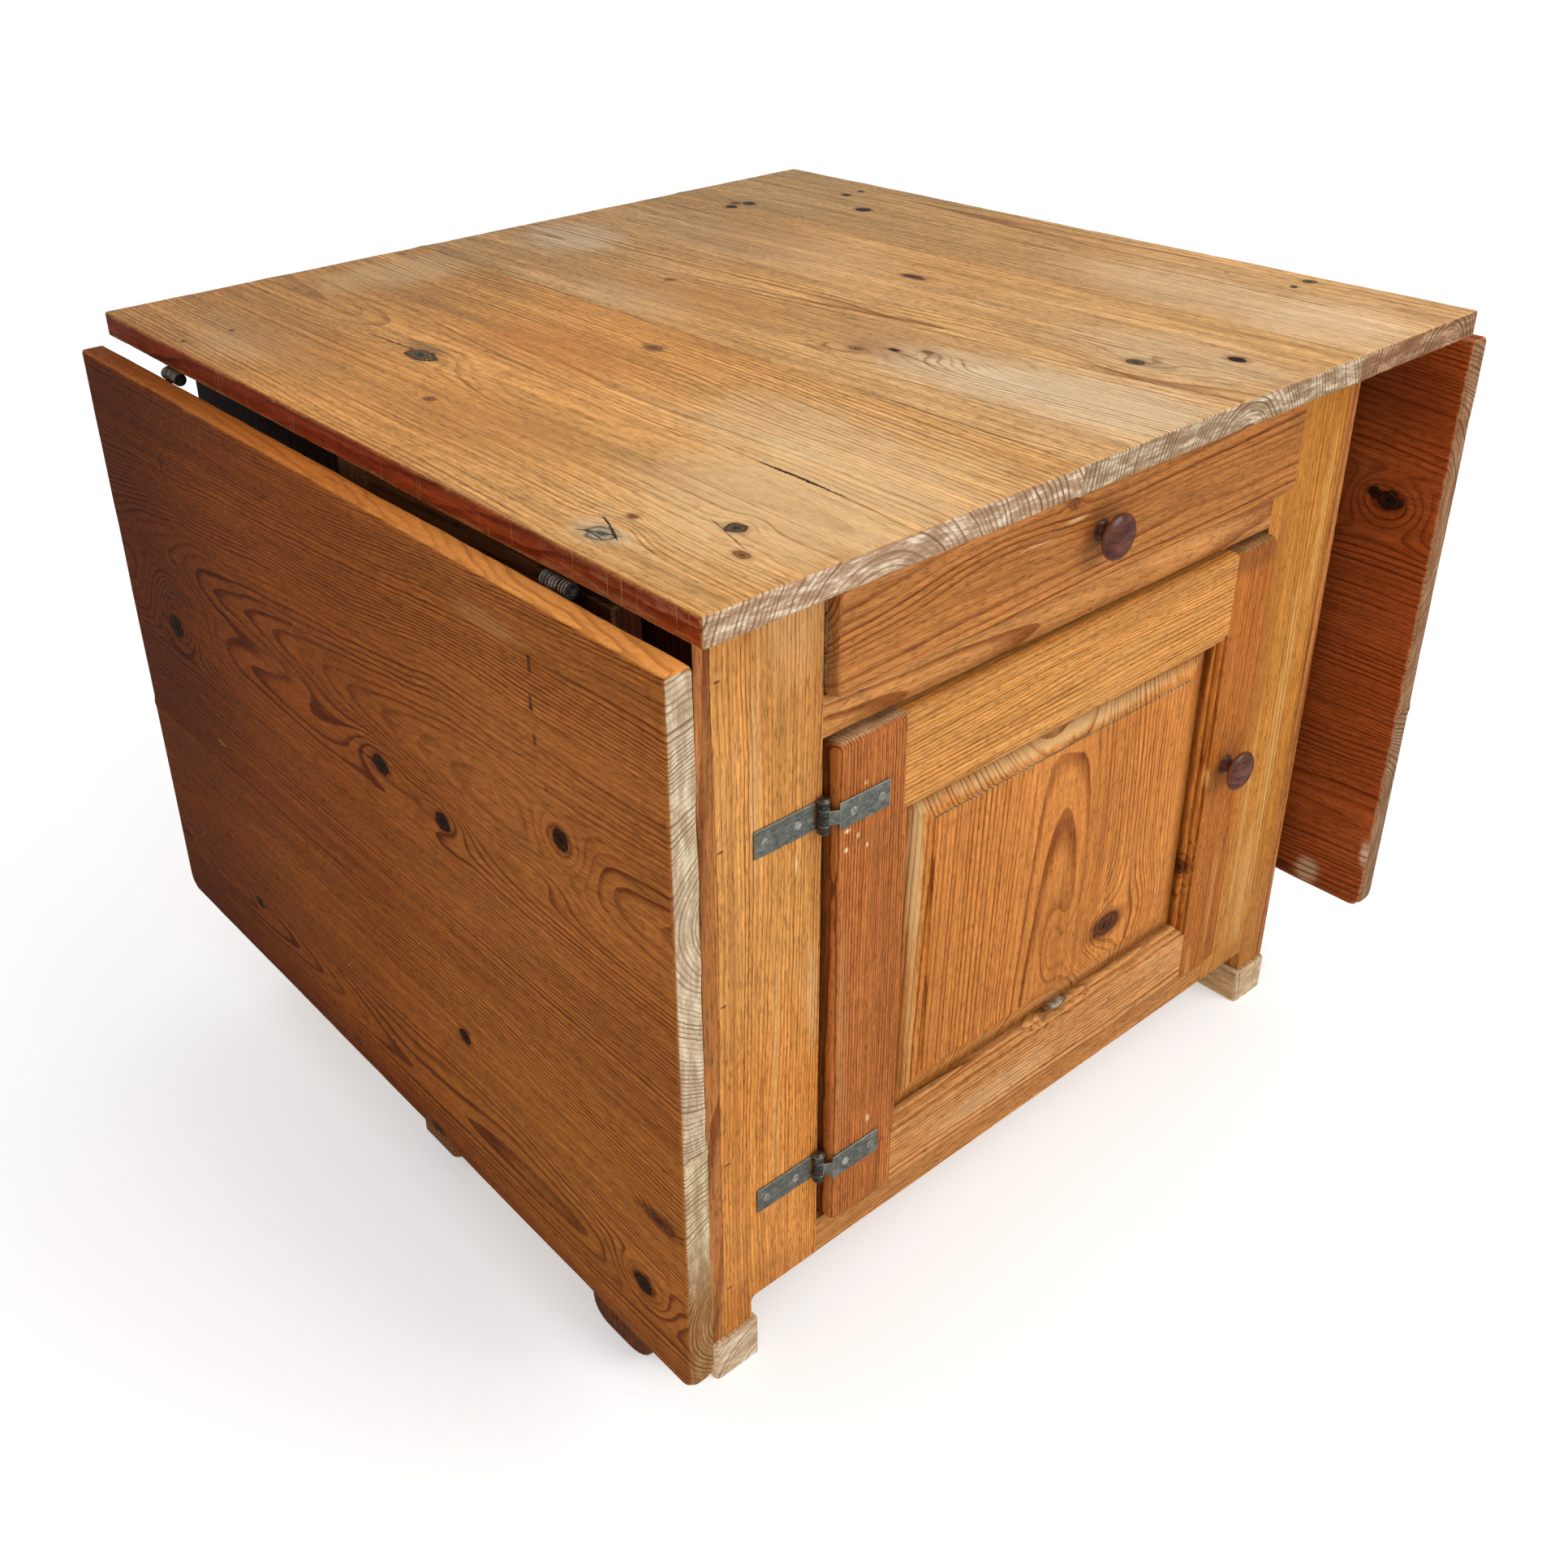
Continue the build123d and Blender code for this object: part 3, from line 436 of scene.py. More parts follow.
def pine(name, axes, origin, pith, seed, early=(0.56, 0.27, 0.085), late=(0.33, 0.115, 0.028),
         ring=5.5, slope=(0.0, 0.0), knots=(), eyes=(), pale=(), dark=(), cracks=(), nails=(),
         wander=22.0, contrast=1.0, wear=0.5, edge=None, edge_col=(0.62, 0.44, 0.25), edge_w=5.0,
         end_col=(0.42, 0.27, 0.15), end_light=None, fade=(), rough=0.42, scratch=0.5, specks=0.5, coat=0.0, patch=1.0,
         pale_col=(0.72, 0.55, 0.36), deep=None, streak=1.0, faces=(), gain=1.0, spec=0.08, quiet=0.0, end_dark=(0.58, 0.48, 0.40), end_fade=()):
    """Old waxed pine. The log's rings are cut by the board, so the face shows
    cathedral figure and the ends show arcs. axes names the X, Y, Z that run
    along the grain, across the face and through the thickness; all lengths are
    in millimetres from origin."""
    g_ = Graph(name)
    ax = {"x": 0, "y": 1, "z": 2}
    ig, ia, ib = (ax[c] for c in axes)
    P = g_.sep(g_.obj)
    vec = g_.madd(g_.xyz(P[ig], P[ia], P[ib]), (1000.0,) * 3, (-float(origin[ig]), -float(origin[ia]), -float(origin[ib])))
    sd = (seed * 13.7, seed * 7.31, seed * 3.77)
    early, late = (tuple(c * gain for c in x) for x in (early, late))
    light = tuple(min(1.0, c * k) for c, k in zip(early, (1.14, 1.22, 1.45)))
    warm = tuple(0.6 * e_ + 0.3 * l_ for e_, l_ in zip(early, late))
    across, lift, wob, fine, brk, tone = g_.use("warp", Vec=vec, Seed=sd, Wander=wander)
    face = []
    inner = {"r": (0.14, 0.04, 0.015), "k": (0.036, 0.013, 0.006), "g": (0.14, 0.09, 0.05), "l": (0.30, 0.13, 0.045), "w": (0.42, 0.34, 0.26)}
    core = {"r": (0.035, 0.011, 0.006), "k": (0.007, 0.004, 0.003), "g": (0.022, 0.018, 0.015), "l": (0.11, 0.035, 0.012), "w": (0.10, 0.085, 0.07)}
    for k in knots:
        g0, a0, r = k[:3]
        el = k[3] if len(k) > 3 else 1.15
        kind = k[4] if len(k) > 4 else "r"
        big = k[5] if len(k) > 5 else 1.0            # how far it disturbs the grain
        across, lift, q = g_.use("knot", Vec=vec, Pos=(g0, a0, 0), Size=(1 / (el * r), 1 / r, 0.0), Wob=wob,
                                 Reach=1 / (2.4 * big) ** 2, Push=0.86, Rise=r * 0.75, Across=across, Lift=lift)
        face.append((q, kind))
    for g0, a0, rg, ra, h in eyes:
        lift, = g_.use("eye", Vec=vec, Pos=(g0, a0, 0), Size=(1 / rg, 1 / ra, 0.0), Rise=h, Lift=lift)
    L, = g_.use("rings", Vec=vec, Seed=sd, Across=across, Lift=lift, Pith=(pith[0], pith[1], 0), Slope=(slope[0], slope[1], 0), Ring=ring)
    col, rgh, hgt = g_.use("body", Vec=vec, Seed=sd, Late=L, Tone=tone, Early=early, LateCol=late, Warm=warm, Light=light, Contrast=contrast,
                           Patch=patch, Streak=streak, Rough=rough, Break=brk, Wob=wob, Quiet=quiet)
    N = g_.sep(g_.nrm)
    for axis, sign, tint, s, *painted_face_light in faces:        # painted light and shade on faces that point one way: a tint, then an even colour mixed over it
        mk = g_.step(N[ax[axis]] * float(sign), 0.5, 0.9) * s
        col = g_.mix(mk, col, g_.mix(1.0, col, tint, "MULTIPLY"))
        if painted_face_light:
            col = g_.mix(mk * painted_face_light[1], col, painted_face_light[0])
    for kind_, items in (("pale", pale), ("dark", dark)):
        for m in items:
            g0, a0, rg, ra, s = m[:5]
            tint = m[5] if len(m) > 5 else (pale_col if kind_ == "pale" else (0.06, 0.03, 0.015))
            hard = m[6] if len(m) > 6 else 0.9
            col, rgh = g_.use("mask", Vec=vec, Break=brk, Late=L, Color=col, Rough=rgh,
                              Pos=(g0, a0, 0), Size=(1 / rg, 1 / ra, 0.0), Amount=s, Tint=tint,
                              Hard=hard, Keep=0.85 if kind_ == "pale" else -0.15, Dull=0.12 if kind_ == "pale" else 0.0)
    for which, v0, v1, tint, *only in fade:          # darker or paler along or across the board
        v = g_.sep(vec)[0 if which == "g" else 1] + brk * 60.0
        fm = g_.step(v, v0, v1)
        if only:
            fm = fm * g_.step(g_.abs(N[ax[only[0]]]), 0.5, 0.9)
        col = g_.mix(fm, col, g_.mix(1.0, col, tint, "MULTIPLY"))
    halo = tuple(0.75 * c for c in late)
    for q, kind in face:
        col, hgt = g_.use("knot_face", Fine=fine, Q=q, Color=col, Height=hgt, Halo=halo, Inner=inner[kind], Core=core[kind],
                          Rim={"k": 0.9, "g": 0.9, "w": 0.7}.get(kind, 0.35), HaloAmount={"l": 0.4, "w": 0.25, "g": 0.35}.get(kind, 0.65))
    for c in cracks:
        g0, g1, a0, sl, w = c[:5]
        col, hgt = g_.use("crack", Vec=vec, Break=brk, Fine=fine, Color=col, Height=hgt, A0=float(a0), G0=float(g0), Mid=(g0 + g1) / 2, Half=abs(g1 - g0) / 2,
                          Slope=sl, Width=w, Amount=c[5] if len(c) > 5 else 0.9)
    for g0, a0, r in nails:
        col, hgt = g_.use("nail", Vec=vec, Fine=fine, Color=col, Height=hgt, Pos=(g0, a0, 0), Radius=r)
    endm = g_.step(g_.abs(N[ig]), 0.55, 0.9)
    e = g_.attr("edge_mm") if edge else 60.0
    col, rgh, hgt = g_.use("wear", Vec=vec, Seed=sd, Late=L, Fine=fine, Break=brk, Tone=tone, Color=col, Rough=rgh, Height=hgt, Light=tuple(min(1.0, c * 1.35 + 0.05) for c in early),
                           Scratch=scratch, Specks=specks, End=endm, EndCol=end_col, EndDark=tuple(c * k for c, k in zip(end_col, end_dark)),
                           EndLight=end_light or tuple(min(1.0, c * k) for c, k in zip(end_col, (1.42, 1.6, 1.95))), EdgeMm=e, EdgeW=edge_w, EdgeCol=edge_col,
                           Wear=wear if edge else 0.0)
    if end_fade:                                     # an end that is browner further across
        v0, v1, tint = end_fade
        col = g_.mix(endm * g_.step(g_.sep(vec)[1] + brk * 40.0, v0, v1), col, g_.mix(1.0, col, tint, "MULTIPLY"))
    # painted shade in the recesses: darker where the surface lies deeper in the door, in the mouldings and round the
    # panel
    if deep:
        b0, b1, s = deep
        recess_shade_mask = g_.step(g_.sep(vec)[2], b0, b1) * (0.6 + g_.noise(g_.madd(vec, (1 / 30, 1 / 10, 1 / 10), sd), 2.0) * 0.6) * s
        col = g_.mix(recess_shade_mask, col, tuple(0.35 * c for c in late))
    if name in CAL:
        col = g_.mix(1.0, col, CAL[name], "MULTIPLY")
    return g_.finish(col, rgh, hgt, dist=0.0011, strength=0.8,
                     Specular_IOR_Level=spec, Coat_Weight=coat, Coat_Roughness=0.3)


def turned(name, seed, base=(0.062, 0.016, 0.010), hi=(0.155, 0.045, 0.024)):
    """Dark stained turned wood with fine open grain, lighter where it is rubbed."""
    g_ = Graph(name)
    x, y, z = g_.sep(g_.obj)
    n = g_.noise(g_.xyz(x * 90.0 + seed, y * 900.0, z * 700.0), 3.0, 0.6)
    m = g_.noise(g_.xyz(x * 60.0 + seed, y * 60.0, z * 160.0), 3.0, 0.6)
    col = g_.mix(g_.step(m, 0.35, 0.7), base, hi)
    col = g_.scale_rgb(col, g_.lin(n, 0.3, 0.7, 0.62, 1.25))
    e = g_.attr("edge_mm")
    col = g_.mix(g_.step(e + n * 2.0, 2.6, 0.6) * 0.5, col, (0.2, 0.075, 0.04))
    rg = g_.lin(m, 0.3, 0.7, 0.24, 0.4)
    return g_.finish(col, rg, n * 0.3, dist=0.0006, strength=0.6, Specular_IOR_Level=0.35,
                     Coat_Weight=0.12, Coat_Roughness=0.18)


def iron(name, seed, base=(0.10, 0.105, 0.095), bright=(0.36, 0.36, 0.33), rust=(0.14, 0.07, 0.035),
         rough=0.42, rusty=0.35, hammer=1.0, metal=0.85, rub=0.6, edge=False):
    """Forged or oiled iron: hammered, pitted, rubbed bright on the high spots; on the screw heads the bright rims are
    worn metal and partly a painted highlight.
    """
    g_ = Graph(name)
    x, y, z = g_.sep(g_.obj)

    def vec(mm, k=0.0):
        s = 1000.0 / mm
        return g_.xyz(x * s + (seed + k), y * s + (seed * 0.7 + k), z * s + k)

    big = g_.noise(vec(14.0), 3.0, 0.6)
    mid = g_.noise(vec(4.0, 3.0), 3.0, 0.6)
    fine = g_.noise(vec(0.8, 7.0), 2.0, 0.6)
    brushed = g_.noise(g_.xyz(x * 60.0, y * 600.0, z * 900.0), 2.0, 0.6)
    col = g_.mix(g_.step(mid, 0.35, 0.68), tuple(c * 0.62 for c in base), base)
    col = g_.mix(g_.step(big, 0.5, 0.66) * rub * 0.7, col, tuple(0.5 * (p + q) for p, q in zip(base, bright)))
    col = g_.mix(g_.step(brushed, 0.56, 0.7) * rub * 0.6, col, bright)
    col = g_.mix(g_.step(g_.noise(vec(7.0, 11.0), 4.0, 0.7), 0.53, 0.66) * rusty, col, rust)
    # brighter arrises: worn metal, and on the screw heads' rims partly a painted highlight
    if edge:
        e = g_.attr("edge_mm")
        col = g_.mix(g_.step(e + mid * 1.6, 1.6, 0.6) * rub, col, bright)
    pits = g_.step(fine, 0.62, 0.74)
    col = g_.scale_rgb(col, 1.0 - pits * 0.35)
    rg = g_.lin(mid, 0.3, 0.7, rough - 0.1, rough + 0.14)
    return g_.finish(col, rg, mid * (0.6 * hammer) + big * hammer - pits * 0.4, dist=0.0006, strength=0.7,
                     Metallic=metal, Specular_IOR_Level=0.5)


# =====================================================================
# Mesh makers. Lengths in millimetres; every mesh is stored in metres.
# =====================================================================
def vnoise(p, seed=0):
    """Smooth lattice noise, -1 to 1, at the points p."""
    p = np.asarray(p, float)
    i = np.floor(p).astype(np.int64)
    f = p - i
    f = f * f * (3 - 2 * f)

    def h(dx, dy, dz):
        n = ((i[:, 0] + dx) * 374761393 + (i[:, 1] + dy) * 668265263 + (i[:, 2] + dz) * 1440662683
             + seed * 1274126177) & 0xFFFFFFFF
        n = ((n ^ (n >> 13)) * 1103515245 + 12345) & 0xFFFFFFFF
        n = (n ^ (n >> 16)) & 0xFFFF
        return n / 32767.5 - 1.0

    out = 0
    for dx in (0, 1):
        for dy in (0, 1):
            for dz in (0, 1):
                w = (f[:, 0] if dx else 1 - f[:, 0]) * (f[:, 1] if dy else 1 - f[:, 1]) * (
                    f[:, 2] if dz else 1 - f[:, 2])
                out = out + w * h(dx, dy, dz)
    return out


def fbm(p, seed=0, octaves=3):
    out, amp, tot = 0, 1.0, 0.0
    for o in range(octaves):
        out = out + amp * vnoise(np.asarray(p) * 2 ** o, seed + o * 17)
        tot += amp
        amp *= 0.5
    return out / tot


def make(name, co, faces, mat, body, replaced=(), edge=None, smooth=True):
    me = bpy.data.meshes.new(name)
    me.from_pydata((np.asarray(co) * MM).tolist(), [], [list(map(int, f)) for f in faces])
    me.update()
    if edge is not None:
        at = me.attributes.new("edge_mm", "FLOAT", "POINT")
        at.data.foreach_set("value", np.asarray(edge, np.float32))
    if smooth:
        me.shade_smooth()
    ob = bpy.data.objects.new(name, me)
    bpy.context.scene.collection.objects.link(ob)
    me.materials.append(mat)
    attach(ob, body)
    if replaced:
        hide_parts(*replaced)
    return ob


def lines(lo, hi, r, step, extra=()):
    k = np.array([0.0, 0.27, 0.58, 0.8, 1.0, 1.35])
    r = min(r, (hi - lo) / 2.75)
    a, b = lo + r * k, hi - r * k[::-1]
    n = max(1, int(round((b[0] - a[-1]) / step)))
    mid = np.linspace(a[-1], b[0], n + 1)[1:-1]
    out = np.concatenate([a, mid, b, np.asarray(extra, float)])
    out = np.unique(np.round(out, 4))
    keep = [out[0]]
    for v in out[1:]:
        if v - keep[-1] > 0.03:
            keep.append(v)
    return np.array(keep)


def shell(X, Y, Z):
    """The six faces of a lattice box, as one closed mesh."""
    nx, ny, nz = len(X), len(Y), len(Z)
    I, J, K = np.meshgrid(range(nx), range(ny), range(nz), indexing="ij")
    s = (I == 0) | (I == nx - 1) | (J == 0) | (J == ny - 1) | (K == 0) | (K == nz - 1)
    idx = -np.ones((nx, ny, nz), int)
    idx[s] = np.arange(s.sum())
    co = np.stack([X[I[s]], Y[J[s]], Z[K[s]]], 1)
    F = []

    def q(m, flip):
        a, b, c, d = m[:-1, :-1], m[1:, :-1], m[1:, 1:], m[:-1, 1:]
        quad = [a, b, c, d] if not flip else [a, d, c, b]
        F.append(np.stack([x.ravel() for x in quad], 1))

    q(idx[0], True); q(idx[-1], False)
    q(idx[:, 0], False); q(idx[:, -1], True)
    q(idx[:, :, 0], True); q(idx[:, :, -1], False)
    return co, np.concatenate(F)


def edge_distance(co, lo, hi, seams=()):
    """Distance to the nearest arris. Faces that are glued to a neighbour, given
    as (axis, place), don't count."""
    a, b = co - lo, hi - co
    for ax_, v in seams:
        if abs(lo[ax_] - v) < 0.5:
            a[:, ax_] = 200.0
        if abs(hi[ax_] - v) < 0.5:
            b[:, ax_] = 200.0
    d = np.sort(np.minimum(a, b), axis=1)
    return np.clip(d[:, 1], 0, 80)


def worn_box(lo, hi, r=2.0, step=9.0, seed=1, wear=0.5, chips=0.0, dent=0.25, rad=None, shape=None,
             extra=((), (), ()), nick=(), seams=()):
    """A board with rubbed arrises. r is the largest radius; wear varies it,
    chips adds deeper bites, dent is the depth of slow hollows, all inward."""
    lo, hi = np.array(lo, float), np.array(hi, float)
    rm = r * (1.0 + wear) + chips
    L = [lines(lo[i], hi[i], min(rm, (hi[i] - lo[i]) * 0.36), step, extra[i]) for i in range(3)]
    co, faces = shell(*L)
    em = edge_distance(co, lo, hi, seams)
    rr = r * (1.0 + wear * fbm(co / 34.0, seed, 3))
    if chips:
        c = fbm(co / 17.0, seed + 50, 3)
        rr = rr + chips * np.clip((c - 0.28) / 0.4, 0, 1) ** 1.5
    if rad is not None:
        rr = rad(co, rr)
    near = np.ones(len(co))
    for ax_, v in seams:              # a fine arris along the joint
        t = np.clip((np.abs(co[:, ax_] - v) - 0.8) / 7.0, 0, 1)
        near = np.minimum(near, t)
    rr = rr * (0.13 + 0.87 * near)
    for (cx, cy, cz), nr, depth in nick:          # local bites out of an arris
        d = np.linalg.norm((co - np.array([cx, cy, cz])) / np.array([nr, nr, nr]), axis=1)
        rr = rr + depth * np.exp(-d ** 2)
    lim = 0.49 * (hi - lo).min()
    rr = np.clip(rr, 0.15, lim)[:, None]
    inner = np.clip(co, lo + rr, hi - rr)
    d = co - inner
    n = d / np.maximum(np.linalg.norm(d, axis=1), 1e-9)[:, None]
    co2 = inner + n * rr
    if dent:
        w = np.clip(0.5 + 0.9 * fbm(co / 95.0, seed + 9, 2), 0, 1) * dent
        w = w + dent * 0.6 * np.clip(fbm(co / 23.0, seed + 31, 2) - 0.2, 0, 1)
        co2 = co2 - n * (w * (0.12 + 0.88 * near))[:, None]
    if shape is not None:
        co2 = shape(co2)
    return co2, faces, em


def board(name, lo, hi, mat, body, replaced=None, slot=None, **kw):
    co, faces, em = worn_box(lo, hi, **kw)
    return make(name, co, faces, mat, body, replaced if replaced is not None else [name.replace("_look", "")],
                em)


def disc_corner(co, i, j, ci, cj, si, sj, R):
    """Rounds the corner of the outline in the plane of axes i and j, whose
    corner is at ci, cj and whose inside lies towards si, sj, to radius R."""
    a, b = (co[:, i] - (ci + si * R)) * -si, (co[:, j] - (cj + sj * R)) * -sj
    m = (a > 0) & (b > 0)
    mx = np.maximum(a[m], b[m])
    k = mx / np.maximum(np.hypot(a[m], b[m]), 1e-9)
    out = co.copy()
    out[m, i] = (ci + si * R) - si * a[m] * k
    out[m, j] = (cj + sj * R) - sj * b[m] * k
    return out


def bounds_mm(node):
    lo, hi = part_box(node)
    return np.array(lo) * 1000.0, np.array(hi) * 1000.0


def carry(node, mat, bevel=0.0, segments=2):
    """Keeps a CAD node and gives it a material, and a softened arris."""
    ob = nodes[node]
    ob.data.materials.clear()
    ob.data.materials.append(mat)
    if bevel:
        w = ob.modifiers.new("weld", "WELD")
        w.merge_threshold = 0.00002
        m = ob.modifiers.new("arris", "BEVEL")
        m.width = bevel * MM
        m.segments = segments
        m.limit_method = "ANGLE"
        m.angle_limit = math.radians(38)
        m.harden_normals = False
        m.use_clamp_overlap = True
    return ob


def lathe(prof, origin, axis, seg=64, wob=0.0, seed=0):
    """Surface of revolution from (radius, height) points; closed at both ends
    where the radius is 0. axis is 'y-' (height towards -Y) or 'z' or 'y'."""
    co, faces = [], []
    rings = []
    for r, h in prof:
        if r < 1e-6:
            rings.append([len(co)])
            co.append((0, 0, h))
        else:
            row = []
            for k in range(seg):
                t = 2 * math.pi * k / seg
                rr = r * (1 + wob * math.sin(3 * t + seed))
                row.append(len(co))
                co.append((rr * math.cos(t), rr * math.sin(t), h))
            rings.append(row)
    for A, B in zip(rings[:-1], rings[1:]):
        if len(A) == 1 and len(B) == 1:
            continue
        for k in range(seg):
            k2 = (k + 1) % seg
            if len(A) == 1:
                faces.append((A[0], B[k2], B[k]))
            elif len(B) == 1:
                faces.append((A[k], A[k2], B[0]))
            else:
                faces.append((A[k], A[k2], B[k2], B[k]))
    co = np.array(co, float)
    if axis == "y-":
        co = np.stack([co[:, 0], -co[:, 2], co[:, 1]], 1)
    elif axis == "y":
        co = np.stack([-co[:, 0], co[:, 2], co[:, 1]], 1)
    elif axis == "x":
        co = np.stack([co[:, 2], co[:, 0], co[:, 1]], 1)
    elif axis == "x-":
        co = np.stack([-co[:, 2], -co[:, 0], co[:, 1]], 1)
    return co + np.array(origin, float), faces


def smooth_profile(pts, n=8):
    """Catmull-Rom through the profile points."""
    P = [np.array(p, float) for p in pts]
    P = [2 * P[0] - P[1]] + P + [2 * P[-1] - P[-2]]
    out = []
    for i in range(1, len(P) - 2):
        for k in range(n):
            t = k / n
            a, b, c, d = P[i - 1], P[i], P[i + 1], P[i + 2]
            q = 0.5 * ((2 * b) + (c - a) * t + (2 * a - 5 * b + 4 * c - d) * t * t + (3 * b - a - 3 * c + d) * t ** 3)
            out.append((max(0.0, q[0]), q[1]))
    out.append(tuple(P[-2]))
    return out


# =====================================================================
# Camera and light
# =====================================================================
cam_data = bpy.data.cameras.new("camera")
cam = bpy.data.objects.new("camera", cam_data)
bpy.context.scene.collection.objects.link(cam)
yaw, pitch, roll = math.radians(38.70), math.radians(-28.863), math.radians(-1.793)
fwd = Vector((math.sin(yaw) * math.cos(pitch), math.cos(yaw) * math.cos(pitch), math.sin(pitch)))
right = Vector((math.cos(yaw), -math.sin(yaw), 0))
up = right.cross(fwd)
r2 = math.cos(roll) * right + math.sin(roll) * up
u2 = -math.sin(roll) * right + math.cos(roll) * up
m = Matrix((r2, u2, -fwd)).transposed().to_4x4()
m.translation = Vector((-0.97393, -1.08936, 1.17539))
cam.matrix_world = m
cam_data.sensor_width = 36.0
cam_data.lens = 2019.995 / 1932 * 36.0
cam_data.shift_x = (966 - 848.956) / 1932
cam_data.shift_y = (845.976 - 966) / 1932
cam_data.clip_start, cam_data.clip_end = 0.05, 100
bpy.context.scene.camera = cam


def area(name, loc, target, size, power, col=(1, 1, 1)):
    d = bpy.data.lights.new(name, "AREA")
    d.shape = "RECTANGLE"
    d.size, d.size_y = size
    d.energy = power
    d.color = col
    o = bpy.data.objects.new(name, d)
    bpy.context.scene.collection.objects.link(o)
    o.location = loc
    o.rotation_mode = "QUATERNION"
    o.rotation_quaternion = (Vector(target) - Vector(loc)).to_track_quat("-Z", "Y")
    return o


area("key", (0.9, -2.5, 2.3), (0.0, -0.2, 0.45), (2.0, 1.6), 42.0, (1.0, 0.985, 0.96))
area("fill_left", (-2.9, -1.9, 1.3), (-0.4, -0.2, 0.4), (1.8, 1.8), 5.0, (1.0, 0.99, 0.98))

world = bpy.data.worlds.new("world")
bpy.context.scene.world = world
world.use_nodes = True
wn = world.node_tree
bg = wn.nodes["Background"]
bg.inputs[0].default_value = (1.0, 1.0, 1.0, 1)
bg.inputs[1].default_value = 0.95
soft = wn.nodes.new("ShaderNodeBackground")      # what polished faces mirror is a dimmer room
soft.inputs[0].default_value = (1.0, 0.98, 0.95, 1)
soft.inputs[1].default_value = 0.38
path = wn.nodes.new("ShaderNodeLightPath")
both = wn.nodes.new("ShaderNodeMixShader")
wn.links.new(path.outputs["Is Glossy Ray"], both.inputs[0])
wn.links.new(bg.outputs[0], both.inputs[1])
wn.links.new(soft.outputs[0], both.inputs[2])
wn.links.new(both.outputs[0], wn.nodes["World Output"].inputs[0])
bpy.context.scene.view_settings.view_transform = "Standard"

floor_me = bpy.data.meshes.new("floor")
floor_me.from_pydata([(-30, -30, 0), (30, -30, 0), (30, 30, 0), (-30, 30, 0)], [], [(0, 1, 2, 3)])
floor = bpy.data.objects.new("floor", floor_me)
bpy.context.scene.collection.objects.link(floor)
fg = Graph("floor_paint")
fx, fy, fz = fg.sep(fg.obj)
fn = fg.noise(fg.xyz(fx * 3.0, fy * 3.0, 0.0), 3.0)
floor_mat = fg.finish(fg.mix(fn * 0.3, (0.77, 0.77, 0.77), (0.76, 0.76, 0.76)), fg.lin(fn, 0.3, 0.7, 0.8, 0.9),
                      Specular_IOR_Level=0.1, Emission_Color=(1, 1, 1, 1), Emission_Strength=0.33)
ft = floor_mat.node_tree
dim = ft.nodes.new("ShaderNodeBsdfDiffuse")
dim.inputs["Color"].default_value = (0.3, 0.3, 0.3, 1)
pick = ft.nodes.new("ShaderNodeMixShader")
ray = ft.nodes.new("ShaderNodeLightPath")
outn = [n for n in ft.nodes if n.type == "OUTPUT_MATERIAL"][0]
shd = [n for n in ft.nodes if n.type == "BSDF_PRINCIPLED"][0]
ft.links.new(ray.outputs["Is Glossy Ray"], pick.inputs[0])
ft.links.new(shd.outputs[0], pick.inputs[1])
ft.links.new(dim.outputs[0], pick.inputs[2])
ft.links.new(pick.outputs[0], outn.inputs[0])
floor_me.materials.append(floor_mat)

# =====================================================================
# Wood for each part. Lengths along and across are from each part's own
# reference corner, as the figure was laid out.
# =====================================================================
TOP = (-440.0, -437.0, 756.0)       # the top's left front corner, upper face
top_early, top_late = (0.64, 0.335, 0.118), (0.29, 0.105, 0.026)
TOP_PALE = (0.78, 0.62, 0.43)
TOP_BACK = (0.72, 0.76, 0.86)

# On the three top boards the fade entries make the wood darker towards the back: part darker wood, part painted shade
# for the light falling off towards the back.
m_top_l = pine("pine_top_left", "yxz", TOP, (150.0, -62.0), 3, top_early, top_late, quiet=0.5, ring=4.6,
               slope=(0.03, 0.02), wander=34, contrast=0.95, patch=1.15, streak=1.55,
               knots=[(50, 74, 4.5, 1.5, "l"), (84, 99, 7.0, 1.0, "g"), (145, 62, 3.0, 1.6, "l"), (137, 30, 9, 1.3, "w"),
                      (442, 90, 4, 1.5, "l"), (545, 145, 9, 2.2, "g"), (422, 300, 6, 1.6, "l")],
               eyes=[(545, 150, 120, 42, 16.0), (300, 200, 160, 30, 8.0)],
               cracks=[(555, 640, 150, -0.06, 1.3), (66, 168, 185, 0.03, 1.5, 1.0), (50, 110, 80, 0.3, 0.9, 0.7),
                       (118, 160, 30, 0.45, 1.2, 1.0), (122, 156, 38, -0.5, 1.2, 1.0), (126, 152, 24, 0.1, 1.0, 0.9),
                       (20, 190, 130, 0.02, 0.5, 0.6), (230, 420, 60, 0.03, 0.5, 0.6)],
               pale=[(800, 280, 60, 100, 0.5, (0.80, 0.64, 0.42)), (690, 40, 60, 30, 0.3), (90, 170, 130, 150, 0.6, (0.72, 0.51, 0.30)), (210, 250, 90, 60, 0.35), (700, 60, 130, 40, 0.25),
                     (137, 30, 26, 18, 0.5, (0.62, 0.52, 0.4))],
               dark=[(560, 160, 40, 10, 0.5, (0.12, 0.08, 0.05)), (480, 240, 120, 50, 0.35, (0.46, 0.17, 0.04)), (330, 90, 120, 50, 0.3, (0.5, 0.22, 0.06)), (650, 90, 120, 60, 0.3, (0.42, 0.17, 0.045))],
               # faces: the left end face is darkened and reddened, painted shade on the side turned from the light
               fade=[("g", 200, 420, (0.97, 0.86, 0.70)), ("g", 470, 800, (0.72, 0.75, 0.86))], faces=[("x", -1, (0.345, 0.092, 0.036), 1.0)],
               nails=[(730, 14, 2.0), (730, 60, 1.8)],
               edge=True, edge_w=4.0, wear=0.55, edge_col=(0.50, 0.22, 0.07), end_col=(0.38, 0.245, 0.165), end_light=(0.72, 0.60, 0.50), rough=0.4)
